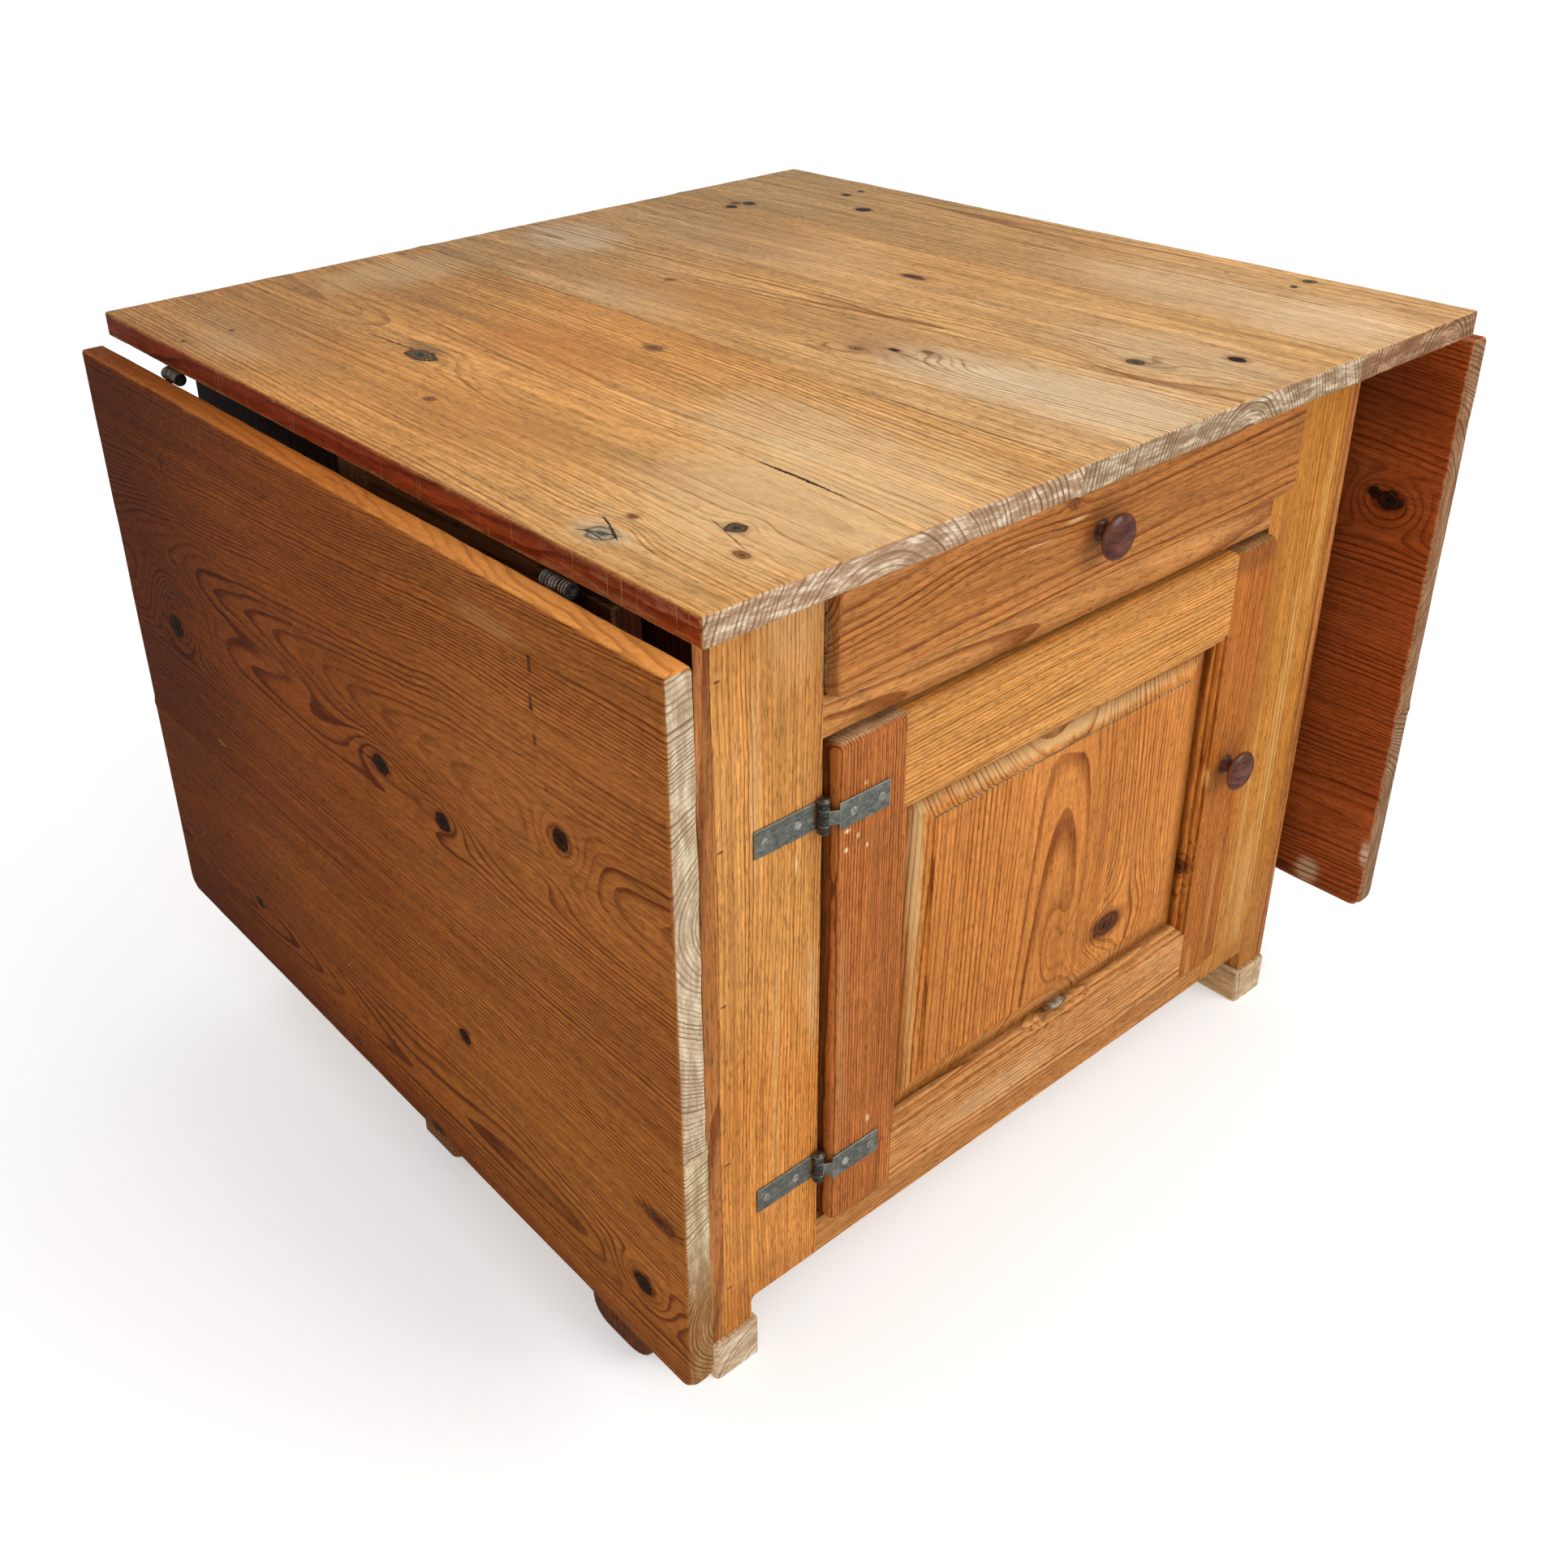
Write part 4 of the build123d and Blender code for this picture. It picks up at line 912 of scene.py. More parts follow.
m_top_m = pine("pine_top_middle", "yxz", TOP, (540.0, -45.0), 7, top_early, top_late, quiet=0.35, ring=4.0,
               slope=(-0.09, 0.012), wander=30, contrast=0.98, patch=1.15, streak=1.55,
               knots=[(117, 555, 5.5, 1.5, "g", 2.2), (582, 447, 4.0, 1.5, "l"), (252, 455, 3.5, 1.8, "l", 3.4),
                      (300, 420, 4.5, 1.5, "l", 2.6), (275, 440, 2.5, 2.2, "k", 2.0), (64, 617, 5.5, 1.4, "k"), (422, 617, 5, 2.5, "r"),
                      (772, 690, 5.5, 1.3, "k")],
               eyes=[(262, 444, 56, 28, 27.0), (318, 416, 40, 18, 17.0), (212, 470, 60, 18, 9.0), (117, 560, 60, 24, 14.0), (500, 560, 190, 30, 8.0)],
               cracks=[(2, 250, 346.4, 0.0, 0.8, 0.85), (600, 872, 346.4, 0.0, 0.7, 0.8), (300, 874, 466, 0.0, 0.6, 0.7), (200, 290, 430, 0.1, 1.0, 0.8), (60, 140, 520, 0.06, 0.8, 0.8), (20, 120, 600, 0.0, 0.6, 0.7)],
               pale=[(790, 480, 75, 55, 0.42, (0.80, 0.63, 0.43)), (560, 380, 90, 40, 0.25), (80, 455, 150, 60, 0.6, (0.74, 0.56, 0.36)), (200, 430, 90, 45, 0.35), (250, 440, 50, 30, 0.3), (100, 590, 120, 60, 0.3), (600, 600, 200, 60, 0.2)],
               dark=[(285, 432, 46, 20, 0.6, (0.36, 0.17, 0.065)), (240, 452, 14, 8, 0.5, (0.2, 0.1, 0.05)), (520, 430, 120, 50, 0.35, (0.50, 0.20, 0.05)), (640, 620, 90, 60, 0.3, (0.45, 0.2, 0.06)), (105, 560, 30, 12, 0.4, (0.14, 0.1, 0.07))],
               # fade: darker towards the back, part darker wood and part painted shade
               fade=[("g", 220, 430, (0.96, 0.90, 0.80)), ("g", 460, 800, (0.76, 0.82, 0.95))],
               edge=True, edge_w=4.0, wear=0.5, edge_col=(0.5, 0.25, 0.09), end_col=(0.315, 0.20, 0.112), end_light=(0.62, 0.49, 0.34), rough=0.4)
m_top_r = pine("pine_top_right", "yxz", TOP, (830.0, -34.0), 11, (0.62, 0.345, 0.135), top_late, quiet=0.55, ring=4.0,
               slope=(0.03, -0.01), wander=22, contrast=0.9, patch=1.15, streak=1.55,
               knots=[(655, 782, 7, 1.2, "k"), (770, 715, 6, 1.2, "k"), (782, 705, 4.5, 1.2, "r"), (152, 860, 5, 1.2, "g"),
                      (152, 835, 3, 1.0, "k"), (722, 820, 4, 1.4, "k"), (722, 845, 3, 1.2, "k")],
               eyes=[(655, 782, 70, 22, 9.0), (200, 800, 140, 20, 8.0)],
               cracks=[(70, 350, 800, 0.0, 0.8, 0.8), (380, 480, 790, -0.05, 0.8, 0.7), (380, 480, 815, 0.06, 0.8, 0.7)],
               pale=[(200, 760, 170, 60, 0.3, (0.74, 0.55, 0.35)), (60, 750, 90, 80, 0.35, (0.74, 0.55, 0.35))],
               # fade: darker towards the back, part darker wood and part painted shade
               fade=[("g", 200, 430, (0.84, 0.80, 0.70)), ("g", 460, 800, (0.82, 0.88, 1.0))],
               edge=True, edge_w=4.5, wear=0.55, edge_col=(0.55, 0.3, 0.12), end_col=(0.235, 0.115, 0.056), end_light=(0.44, 0.27, 0.15), rough=0.4)

LL = (-469.5, -437.0, 733.0)
leaf_early, leaf_late = (0.325, 0.112, 0.027), (0.13, 0.031, 0.006)
# along y, across z (downwards is negative), through x
m_ll_u = pine("pine_left_leaf_upper", "yzx", LL, (-190.0, 70.0), 21, leaf_early, leaf_late, ring=3.3,
              slope=(-0.03, 0.05), wander=42, contrast=1.1, patch=0.8,
              knots=[(121, -179, 7.5, 1.1, "k", 1.5), (282, -244, 7.5, 1.2, "k", 1.5), (372, -234, 7.5, 1.5, "k", 1.5),
                     (765, -257, 11, 1.2, "k", 1.4), (760, -220, 6, 1.3, "r"), (706, -362, 2.5, 1.3, "l")],
              eyes=[(330, -235, 100, 26, 17.0), (755, -235, 70, 50, 24.0), (560, -210, 150, 24, 12.0), (121, -185, 40, 30, 12.0), (160, -225, 60, 16, 10.0)],
              cracks=[(355, 410, -236, 0.02, 1.8, 0.9), (770, 800, -262, 0.3, 2.2, 0.9)],
              pale=[(195, -40, 45, 9, 0.36, (0.5, 0.27, 0.11)), (706, -362, 8, 3, 0.9, (0.7, 0.55, 0.36))],
              dark=[(600, -30, 400, 30, 0.2, (0.16, 0.05, 0.015)), (142, -54, 2.6, 7, 0.8, (0.07, 0.018, 0.008), 1.3), (144, -82, 2.2, 8, 0.8, (0.07, 0.018, 0.008), 1.3), (143, -110, 2.2, 6, 0.7, (0.07, 0.018, 0.008), 1.3), (725, -78, 2.4, 9, 0.6, (0.07, 0.018, 0.008), 1.3),
                    (85, -300, 5, 46, 0.25, (0.17, 0.06, 0.02))],
              nails=[(142, -48, 1.5), (144, -86, 1.5), (725, -62, 1.5)],
              # fade: darker towards the back, part darker wood and part painted shade for the light falling off
              fade=[("g", 120, 480, (0.75, 0.583, 0.40)), ("g", 440, 840, (0.455, 0.355, 0.265))],
              # faces: the upward top edge is made lighter and more orange, painted light where the light from above
              # falls on it
              faces=[("z", 1, (2.95, 3.75, 4.4), 1.0, (0.72, 0.30, 0.10), 0.6)],
              edge=True, edge_w=3.6, wear=0.6, edge_col=(0.42, 0.155, 0.04), end_col=(0.51, 0.417, 0.368), end_light=(0.72, 0.65, 0.62), spec=0.03, rough=0.42)
m_ll_l = pine("pine_left_leaf_lower", "yzx", LL, (-560.0, 58.0), 27, leaf_early, leaf_late, ring=3.2,
              slope=(0.02, -0.03), wander=32, contrast=1.1, patch=0.8,
              knots=[(287, -459, 6, 1.2, "k", 1.4), (30, -464, 5.5, 3.2, "r"), (55, -549, 8.0, 1.25, "k", 1.4), (684, -540, 5, 1.3, "k"),
                     (500, -600, 5, 1.3, "r")],
              eyes=[(55, -549, 40, 26, 12.0), (400, -540, 170, 30, 12.0), (22, -462, 30, 18, 9.0)],
              pale=[(360, -612, 22, 4, 0.4)],
              dark=[(430, -625, 400, 26, 0.5, (0.15, 0.04, 0.012)),
                    (358, -612, 14, 6, 0.8, (0.05, 0.02, 0.012)), (85, -390, 5, 30, 0.2, (0.17, 0.06, 0.02))],
              # fade: darker towards the back and towards the bottom, part darker wood and part painted shade for the
              # light falling off
              fade=[("g", 120, 480, (0.725, 0.585, 0.40)), ("g", 440, 840, (0.556, 0.44, 0.315)), ("a", -500, -625, (0.75, 0.66, 0.66))],
              edge=True, edge_w=4.0, wear=0.6, edge_col=(0.38, 0.15, 0.045), end_col=(0.462, 0.366, 0.34), end_light=(0.653, 0.57, 0.56), end_fade=(-455, -545, (0.60, 0.39, 0.24)), spec=0.03, rough=0.43)

# the right leaf's inner face is the one seen; it stands in shade and its colours were taken in that shade, so they are
# darker and redder than the left leaf's: painted shade. The large dark patch on the upper board darkens the face
# further, also painted shade.
RL = (446.5, -437.0, 733.0)
m_rl_u = pine("pine_right_leaf_upper", "yzx", RL, (-180.0, -70.0), 33, (0.36, 0.078, 0.016), (0.13, 0.019, 0.004), ring=4.4,
              slope=(0.04, 0.02), wander=36, contrast=0.95,
              knots=[(50, -172, 9, 1.3, "k", 1.4), (66, -168, 5, 1.2, "k")],
              eyes=[(55, -178, 46, 34, 18.0), (300, -200, 150, 30, 10.0)],
              dark=[(400, -200, 400, 300, 0.4, (0.12, 0.03, 0.01)), (60, -60, 60, 40, 0.5, (0.13, 0.025, 0.006))],
              edge=True, edge_w=4.0, wear=0.7, edge_col=(0.5, 0.3, 0.15), end_col=(0.27, 0.14, 0.07), rough=0.4)
m_rl_l = pine("pine_right_leaf_lower", "yzx", RL, (-520.0, -60.0), 39, (0.375, 0.085, 0.018), (0.15, 0.023, 0.005), ring=4.2,
              slope=(-0.02, 0.03), wander=30, contrast=0.9,
              knots=[(600, -500, 7, 1.2, "k")], eyes=[(200, -500, 130, 26, 8.0)],
              pale=[(64, -604, 14, 17, 1.0, (0.56, 0.37, 0.22), 0.75), (5, -555, 6, 16, 0.9, (0.7, 0.56, 0.4))],
              # the near-black patch at the lower edge near the front is a painted shadow
              dark=[(100, -612, 22, 7, 0.6, (0.05, 0.02, 0.012))],
              edge=True, edge_w=4.0, wear=0.7, edge_col=(0.5, 0.3, 0.15), end_col=(0.28, 0.15, 0.08), rough=0.4)

# front of the cupboard: grain upright on the stiles, level on the rails
O = (0.0, 0.0, 0.0)
m_fs_l = pine("pine_frame_stile_left", "zxy", O, (-420.0, -330.0), 43, (0.63, 0.30, 0.088), (0.30, 0.088, 0.015), ring=3.3,
              slope=(0.02, 0.01), wander=14, contrast=0.85,
              eyes=[(230, -330, 120, 12, 5.0)],
              pale=[(z_, -373, 4.2, 4.2, 0.75, (0.60, 0.30, 0.12), 0.25) for z_ in (663, 528, 391, 233, 96)] + [(690, -300, 60, 40, 0.4, (0.68, 0.45, 0.23)), (350, -283, 60, 6, 0.4), (560, -340, 90, 5, 0.4, (0.74, 0.5, 0.26)), (280, -320, 120, 4, 0.35, (0.74, 0.5, 0.26)), (481, -300.5, 10, 1.1, 0.9, (0.9, 0.76, 0.56), 0.5)],
              dark=[(z_ - 3.2, -372, 1.3, 3.6, 0.8, (0.09, 0.035, 0.015), 0.3) for z_ in (663, 528, 391, 233, 96)] + [(64, -330, 40, 60, 0.35, (0.26, 0.09, 0.025)), (540, -283, 160, 8, 0.35, (0.3, 0.1, 0.03)), (400, -362, 320, 3, 0.4, (0.3, 0.1, 0.03))],
              fade=[("g", 420, 260, (0.95, 0.81, 0.64))], rough=0.38)
m_fs_r = pine("pine_frame_stile_right", "zxy", O, (430.0, -320.0), 47, (0.52, 0.225, 0.048), (0.31, 0.10, 0.016), ring=4.0,
              slope=(-0.02, 0.0), wander=12, contrast=0.6,
              pale=[(330, 345, 220, 9, 0.55, (0.68, 0.43, 0.17)), (560, 365, 120, 6, 0.5, (0.68, 0.43, 0.17)), (160, 330, 90, 11, 0.5, (0.68, 0.43, 0.18)),
                    (250, 312, 160, 3, 0.5, (0.7, 0.46, 0.2))],
              dark=[(470, 300, 200, 10, 0.4, (0.34, 0.12, 0.03)), (60, 330, 30, 60, 0.3, (0.3, 0.12, 0.04))], rough=0.36)
m_rail = pine("pine_rails", "xzy", O, (590.0, -300.0), 53, (0.54, 0.24, 0.075), (0.24, 0.072, 0.016), ring=3.3, slope=(0.03, 0.02),
              wander=14, contrast=0.9, dark=[(0, 578, 400, 8, 0.4, (0.25, 0.085, 0.025))], rough=0.38)
m_drawer = pine("pine_drawer_front", "xzy", O, (706.0, -322.0), 59, (0.47, 0.20, 0.055), (0.21, 0.058, 0.012), ring=4.2,
                slope=(0.012, 0.02), wander=26, contrast=1.0,
                knots=[(-25, 690, 4, 1.4, "l")], eyes=[(-110, 672, 90, 22, 9.0), (130, 655, 90, 22, 5.0)],
                pale=[(-20, 676, 14, 2.5, 0.8, (0.7, 0.5, 0.28)), (-60, 668, 26, 1.5, 0.4)],
                dark=[(-60, 725, 320, 10, 0.4, (0.25, 0.09, 0.03)), (20, 660, 45, 24, 0.3, (0.3, 0.1, 0.03))],
                edge=True, edge_w=2.6, wear=0.5, edge_col=(0.44, 0.19, 0.06), end_col=(0.46, 0.22, 0.075), end_light=(0.56, 0.30, 0.12), end_dark=(0.76, 0.66, 0.56), patch=1.25, rough=0.37)
# the door parts' deep entries darken the mouldings and the panel's edges where they lie deeper: painted shade
m_ds_l = pine("pine_door_stile_left", "zxy", O, (-60.0, -318.0), 61, (0.45, 0.158, 0.042), (0.19, 0.045, 0.012), ring=2.5,
              slope=(0.0, 0.0), wander=12, contrast=1.15, streak=1.3, specks=0.7,
              pale=[(534, -243, 2.2, 1.8, 0.8, (0.7, 0.5, 0.32), 0.4), (499.5, -261, 2.2, 3.0, 0.95, (0.86, 0.72, 0.52), 0.5), (491, -250, 2.8, 1.5, 0.95, (0.9, 0.78, 0.6), 0.5), (483, -262, 2.4, 2.4, 0.9, (0.86, 0.72, 0.52), 0.5),
                    (478, -240, 2.6, 1.3, 0.9, (0.9, 0.78, 0.6), 0.5), (200, -230, 4, 2, 0.8, (0.8, 0.66, 0.48), 0.5), (300, -262, 130, 5, 0.3, (0.6, 0.36, 0.16))],
              end_col=(0.42, 0.27, 0.16), deep=(-373.5, -369.0, 0.6), rough=0.38)
m_ds_r = pine("pine_door_stile_right", "zxy", O, (300.0, -335.0), 67, (0.445, 0.16, 0.037), (0.24, 0.062, 0.011), ring=3.8,
              slope=(0.03, 0.0), wander=18, contrast=0.85,
              knots=[(247, 200, 6, 1.4, "r")], eyes=[(247, 200, 30, 12, 6.0)],
              pale=[(346, 212, 12, 4, 0.8, (0.66, 0.42, 0.2)), (200, 250, 80, 4, 0.4, (0.66, 0.42, 0.2)), (120, 225, 40, 5, 0.4, (0.66, 0.42, 0.2))],
              dark=[(565, 240, 14, 60, 0.5, (0.16, 0.07, 0.035))],
              end_col=(0.3, 0.18, 0.11), deep=(-373.5, -369.0, 0.6), rough=0.38)
m_dr_t = pine("pine_door_rail_top", "xzy", O, (610.0, -330.0), 71, (0.61, 0.275, 0.078), (0.29, 0.09, 0.015), ring=3.3,
              slope=(0.03, 0.01), wander=16, contrast=0.95, eyes=[(40, 540, 110, 14, 6.0)], deep=(-373.5, -369.0, 0.5), rough=0.36)
m_dr_b = pine("pine_door_rail_bottom", "xzy", O, (80.0, -310.0), 73, (0.56, 0.255, 0.088), (0.26, 0.082, 0.02), ring=3.2,
              slope=(0.02, 0.01), wander=16, contrast=0.95, knots=[(25, 178, 6, 2.2, "w"), (8, 176, 4, 1.8, "l")],
              pale=[(25, 182, 26, 6, 0.6, (0.58, 0.42, 0.3)), (-60, 130, 90, 16, 0.25)], deep=(-373.5, -369.0, 0.5), rough=0.38)
m_panel = pine("pine_door_panel", "zxy", O, (2.0, -300.0), 79, (0.59, 0.217, 0.05), (0.25, 0.064, 0.010), ring=3.9,
               slope=(0.0, 0.045), wander=18, contrast=1.0,
               knots=[(241, 81, 19, 0.62, "r", 1.3)], eyes=[(252, 2, 42, 14, 13.0), (241, 81, 60, 28, 7.0), (500, 10, 50, 26, 5.0)],
               pale=[(476, 0, 9, 200, 0.8, (0.70, 0.46, 0.24)), (420, -176, 90, 8, 0.75, (0.72, 0.49, 0.26)), (330, -174, 190, 5, 0.5, (0.66, 0.42, 0.2)), (190, 0, 6, 200, 0.4, (0.6, 0.38, 0.18))],
               dark=[(300, -150, 120, 14, 0.25, (0.35, 0.12, 0.03)), (350, 60, 130, 6, 0.3, (0.3, 0.09, 0.02))], deep=(-372.5, -367.5, 0.5), rough=0.37)
# The sides' outward faces are far darker in their upper part: painted shade in the gap under the top, behind the
# hanging leaves.
m_side = pine("pine_sides", "zyx", O, (40.0, -300.0), 83, (0.40, 0.15, 0.038), (0.2, 0.058, 0.012), ring=6.2, slope=(0.02, 0.03),
              wander=26, knots=[(420, -180, 8, 1.2, "k"), (200, 120, 7, 1.2, "k"), (560, 240, 6, 1.2, "r")],
              dark=[(60, 0, 60, 400, 0.35, (0.2, 0.07, 0.02))], fade=[("g", 500, 690, (0.10, 0.07, 0.07), "x")], end_col=(0.42, 0.2, 0.07), rough=0.45)
m_back = pine("pine_back", "zxy", O, (-170.0, 300.0), 89, (0.46, 0.24, 0.10), (0.26, 0.11, 0.04), ring=6.8, slope=(0.03, 0.03),
              wander=28, knots=[(500, -150, 10, 1.2, "k"), (260, 120, 8, 1.2, "k"), (620, 260, 7, 1.2, "r"), (150, -260, 8, 1.2, "k")],
              rough=0.55, contrast=0.85)
m_inner = pine("pine_inner", "yxz", O, (40.0, -100.0), 97, (0.46, 0.26, 0.12), (0.3, 0.15, 0.065), ring=5.6, slope=(0.02, 0.02),
               wander=18, rough=0.6, contrast=0.7)
m_cross = pine("pine_battens", "xyz", O, (-100.0, 640.0), 101, (0.40, 0.2, 0.085), (0.24, 0.11, 0.04), ring=5.2, slope=(0.02, 0.02),
               wander=14, rough=0.55, edge=True, edge_w=3.0, wear=0.4, edge_col=(0.5, 0.3, 0.15))
# The gate legs stand back under the top, behind the leaves: the rails' near-black colours and the upright's darker top,
# bottom and ends are painted shade.
m_gate_v = pine("pine_gate_upright", "zyx", O, (-300.0, -380.0), 103, (0.30, 0.105, 0.03), (0.15, 0.045, 0.011), ring=4.8, slope=(0.01, 0.02),
                wander=14, rough=0.48, edge=True, edge_w=3.0, wear=0.35, edge_col=(0.34, 0.16, 0.06),
                fade=[("g", 150, 50, (0.36, 0.30, 0.30)), ("g", 520, 690, (0.22, 0.16, 0.16))], end_col=(0.08, 0.04, 0.02))
m_gate_h = pine("pine_gate_rail", "yzx", O, (700.0, -380.0), 107, (0.12, 0.04, 0.012), (0.07, 0.02, 0.006), ring=4.8, slope=(0.01, 0.02),
                wander=12, rough=0.5, end_col=(0.2, 0.1, 0.05))
m_skid = pine("pine_skid", "yxz", O, (-330.0, -20.0), 109, (0.58, 0.41, 0.245), (0.36, 0.21, 0.10), ring=5.0, slope=(0.02, 0.0),
              wander=10, contrast=0.9, knots=[(-340, -372, 5, 1.3, "r")], fade=[("a", -60, 160, (0.90, 0.78, 0.62))], rough=0.6, edge=True, edge_w=3.4, wear=0.6,
              edge_col=(0.70, 0.55, 0.37), end_col=(0.50, 0.35, 0.21), end_light=(0.68, 0.55, 0.4), specks=0.3, scratch=0.3, patch=0.6)
m_knob = turned("stained_knob", 2.0)
m_strap = iron("forged_strap", 5.0, base=(0.185, 0.198, 0.170), bright=(0.50, 0.51, 0.44), rust=(0.055, 0.048, 0.038), rough=0.46, rusty=0.5, rub=0.6, metal=0.5, edge=True)
m_barrel = iron("dark_barrel", 6.0, base=(0.07, 0.068, 0.06), bright=(0.5, 0.48, 0.42), rust=(0.02, 0.016, 0.012), rough=0.34, rusty=0.45, rub=0.7, metal=0.6, edge=True)
m_hinge = iron("oiled_hinge", 9.0, base=(0.045, 0.035, 0.028), bright=(0.45, 0.37, 0.3), rust=(0.03, 0.018, 0.012), rusty=0.4, rough=0.36, hammer=0.4, metal=0.6, rub=0.6)
m_coil = iron("oiled_knuckle", 23.0, base=(0.032, 0.025, 0.02), bright=(0.46, 0.38, 0.31), rust=(0.022, 0.015, 0.01), rusty=0.5, rough=0.34, hammer=0.4, metal=0.6, rub=0.75, edge=True)
m_pin = iron("bright_pin", 13.0, base=(0.14, 0.13, 0.115), bright=(0.6, 0.55, 0.48), rusty=0.35, rough=0.4, hammer=0.5, metal=0.9, rub=0.35)
# screw heads: pale metal with bright rims, partly worn and partly a painted highlight
m_screw = iron("screw_heads", 17.0, base=(0.34, 0.34, 0.31), bright=(0.85, 0.83, 0.78), rust=(0.16, 0.14, 0.11), rusty=0.25, rough=0.32, hammer=0.3, metal=0.4, rub=0.9, edge=True)
m_screw_dark = iron("screw_heads_dark", 19.0, base=(0.12, 0.11, 0.10), bright=(0.5, 0.48, 0.44), rusty=0.3, rough=0.38, hammer=0.4, metal=0.9)

# =====================================================================
# The fixed top
# =====================================================================
for n, mt, seams in (("top_board_left", m_top_l, [(0, -95.0)]), ("top_board_middle", m_top_m, [(0, -95.0), (0, 257.0)]),
                     ("top_board_right", m_top_r, [(0, 257.0)])):
    lo, hi = bounds_mm(n)
    board(n + "_look", lo, hi, mt, "carcass", slot="pine_top", r=2.3, wear=0.55, chips=1.6, dent=0.35, step=8.0,
          seed=len(n) + 3, seams=seams)
for n in ("top_batten_front", "top_batten_back"):
    lo, hi = bounds_mm(n)
    board(n + "_look", lo, hi, m_cross, "carcass", slot="pine_inner", r=2.0, wear=0.5, dent=0.3, seed=5)

# =====================================================================
# Leaves
# =====================================================================
def leaf_lower(side):
    """Lower board: outer corners rounded in the plane, lower arrises full."""
    def rad(co, rr):
        low = np.clip((108.5 + 15.0 - co[:, 2]) / 7.0, 0, 1)
        return rr * (1 - low) + low * 8.0 * (1 + 0.12 * fbm(co / 30.0, 7))

    def shape(co):
        co = disc_corner(co, 1, 2, -437.0, 108.5, 1, 1, 14.0)
        co = disc_corner(co, 1, 2, 437.0, 108.5, -1, 1, 14.0)
        if side == "left":     # a shallow worn notch in the lower edge
            y = co[:, 1] + 437.0
            dip = 3.2 * np.exp(-((y - 357.0) / 13.0) ** 2) * (1 + 0.3 * np.sin(y * 0.6))
            near = np.clip((108.5 + 26.0 - co[:, 2]) / 26.0, 0, 1)
            co[:, 2] += dip * near
        return co
    return rad, shape


for side, mu, ml in (("left", m_ll_u, m_ll_l), ("right", m_rl_u, m_rl_l)):
    n = side + "_leaf_board_upper"
    lo, hi = bounds_mm(n)
    board(n + "_look", lo, hi, mu, side + "_leaf", slot="pine_leaf", r=3.6, wear=0.5, chips=1.2, dent=0.35, step=8.0,
          seed=11 + len(side), seams=[(2, 347.5)])
    n = side + "_leaf_board_lower"
    lo, hi = bounds_mm(n)
    rad, shape = leaf_lower(side)
    board(n + "_look", lo, hi, ml, side + "_leaf", slot="pine_leaf", r=8.0, wear=0.0, chips=0.8, dent=0.35, step=8.0,
          seed=14 + len(side), rad=lambda co, rr, f=rad: f(co, rr * 0.3), shape=shape, seams=[(2, 347.5)])

# =====================================================================
# Drawer front: laps the right stile, so its end is thinner
# =====================================================================
lo, hi = bounds_mm("drawer_front")
lo[0] += 0.15


def drawer_rad(co, rr):
    low = np.clip((612.5 + 9.0 - co[:, 2]) / 4.0, 0, 1) * (co[:, 1] < -368.0)
    end = np.clip((-271.5 + 9.0 - co[:, 0]) / 4.0, 0, 1) * (co[:, 1] < -368.0) * (1 - low)
    return rr * (1 - low - end) + low * 4.5 + end * 2.4


def drawer_shape(co):
    out = co.copy()
    m_ = (co[:, 0] > 272.4) & (co[:, 1] > -367.5)
    out[m_, 1] = -367.5
    return out


board("drawer_front_look", lo, hi, m_drawer, "drawer", slot="pine_frame", r=4.5, wear=0.0, chips=0.4, dent=0.25, step=8.0,
      seed=23, rad=lambda co, rr: drawer_rad(co, rr * 0.33), shape=drawer_shape, extra=((272.3, 272.5), (-367.5,), ()))

# =====================================================================
# Skids and gate legs
# =====================================================================
for side, s in (("left", -1), ("right", 1)):
    n = "foot_skid_" + side
    lo, hi = bounds_mm(n)

    def skid_shape(co, lo=lo, hi=hi):
        for cx, sx in ((lo[0], 1), (hi[0], -1)):
            for cy, sy in ((lo[1], 1), (hi[1], -1)):
                co = disc_corner(co, 0, 1, cx, cy, sx, sy, 5.0)
        return co

    def skid_rad(co, rr):
        return rr * np.where(co[:, 2] < 3.0, 0.3, 1.0)

    board(n + "_look", lo, hi, m_skid, "carcass", slot="pine_foot", r=2.2, wear=0.4, chips=0.6, dent=0.0, step=7.0,
          seed=31, shape=skid_shape, rad=skid_rad)
    n = "gate_" + side + "_leg"
    lo, hi = bounds_mm(n)

    def leg_shape(co, lo=lo, hi=hi):
        co = disc_corner(co, 1, 2, lo[1], lo[2], 1, 1, 34.0)
        return disc_corner(co, 1, 2, hi[1], lo[2], -1, 1, 20.0)

    board(n + "_look", lo, hi, m_gate_v, side + "_gate", slot="pine_inner", r=2.0, wear=0.4, chips=0.5, dent=0.3, step=8.0,
          seed=37, shape=leg_shape)

# =====================================================================
# Carried-over CAD nodes
# =====================================================================
carry("side_board_left", m_side, 0.8)
carry("side_board_right", m_side, 0.8)
carry("front_stile_left", m_fs_l, 0.9)
carry("front_stile_right", m_fs_r, 0.9)
carry("front_rail_middle", m_rail, 0.8)
carry("front_rail_bottom", m_rail, 0.8)
carry("back_board_left", m_back, 0.8)
carry("back_board_right", m_back, 0.8)
carry("cupboard_floor", m_inner, 0.0)
for n in ("drawer_bearer_left", "drawer_bearer_right", "drawer_side_left", "drawer_side_right", "drawer_bottom"):
    carry(n, m_inner, 0.5)
for n in ("drawer_bearer_rail", "drawer_back"):
    carry(n, m_cross, 0.5)
carry("door_stile_left", m_ds_l, 0.5)
carry("door_stile_right", m_ds_r, 0.5)
carry("door_rail_top", m_dr_t, 0.5)
carry("door_rail_bottom", m_dr_b, 0.5)
carry("door_panel", m_panel, 0.7)
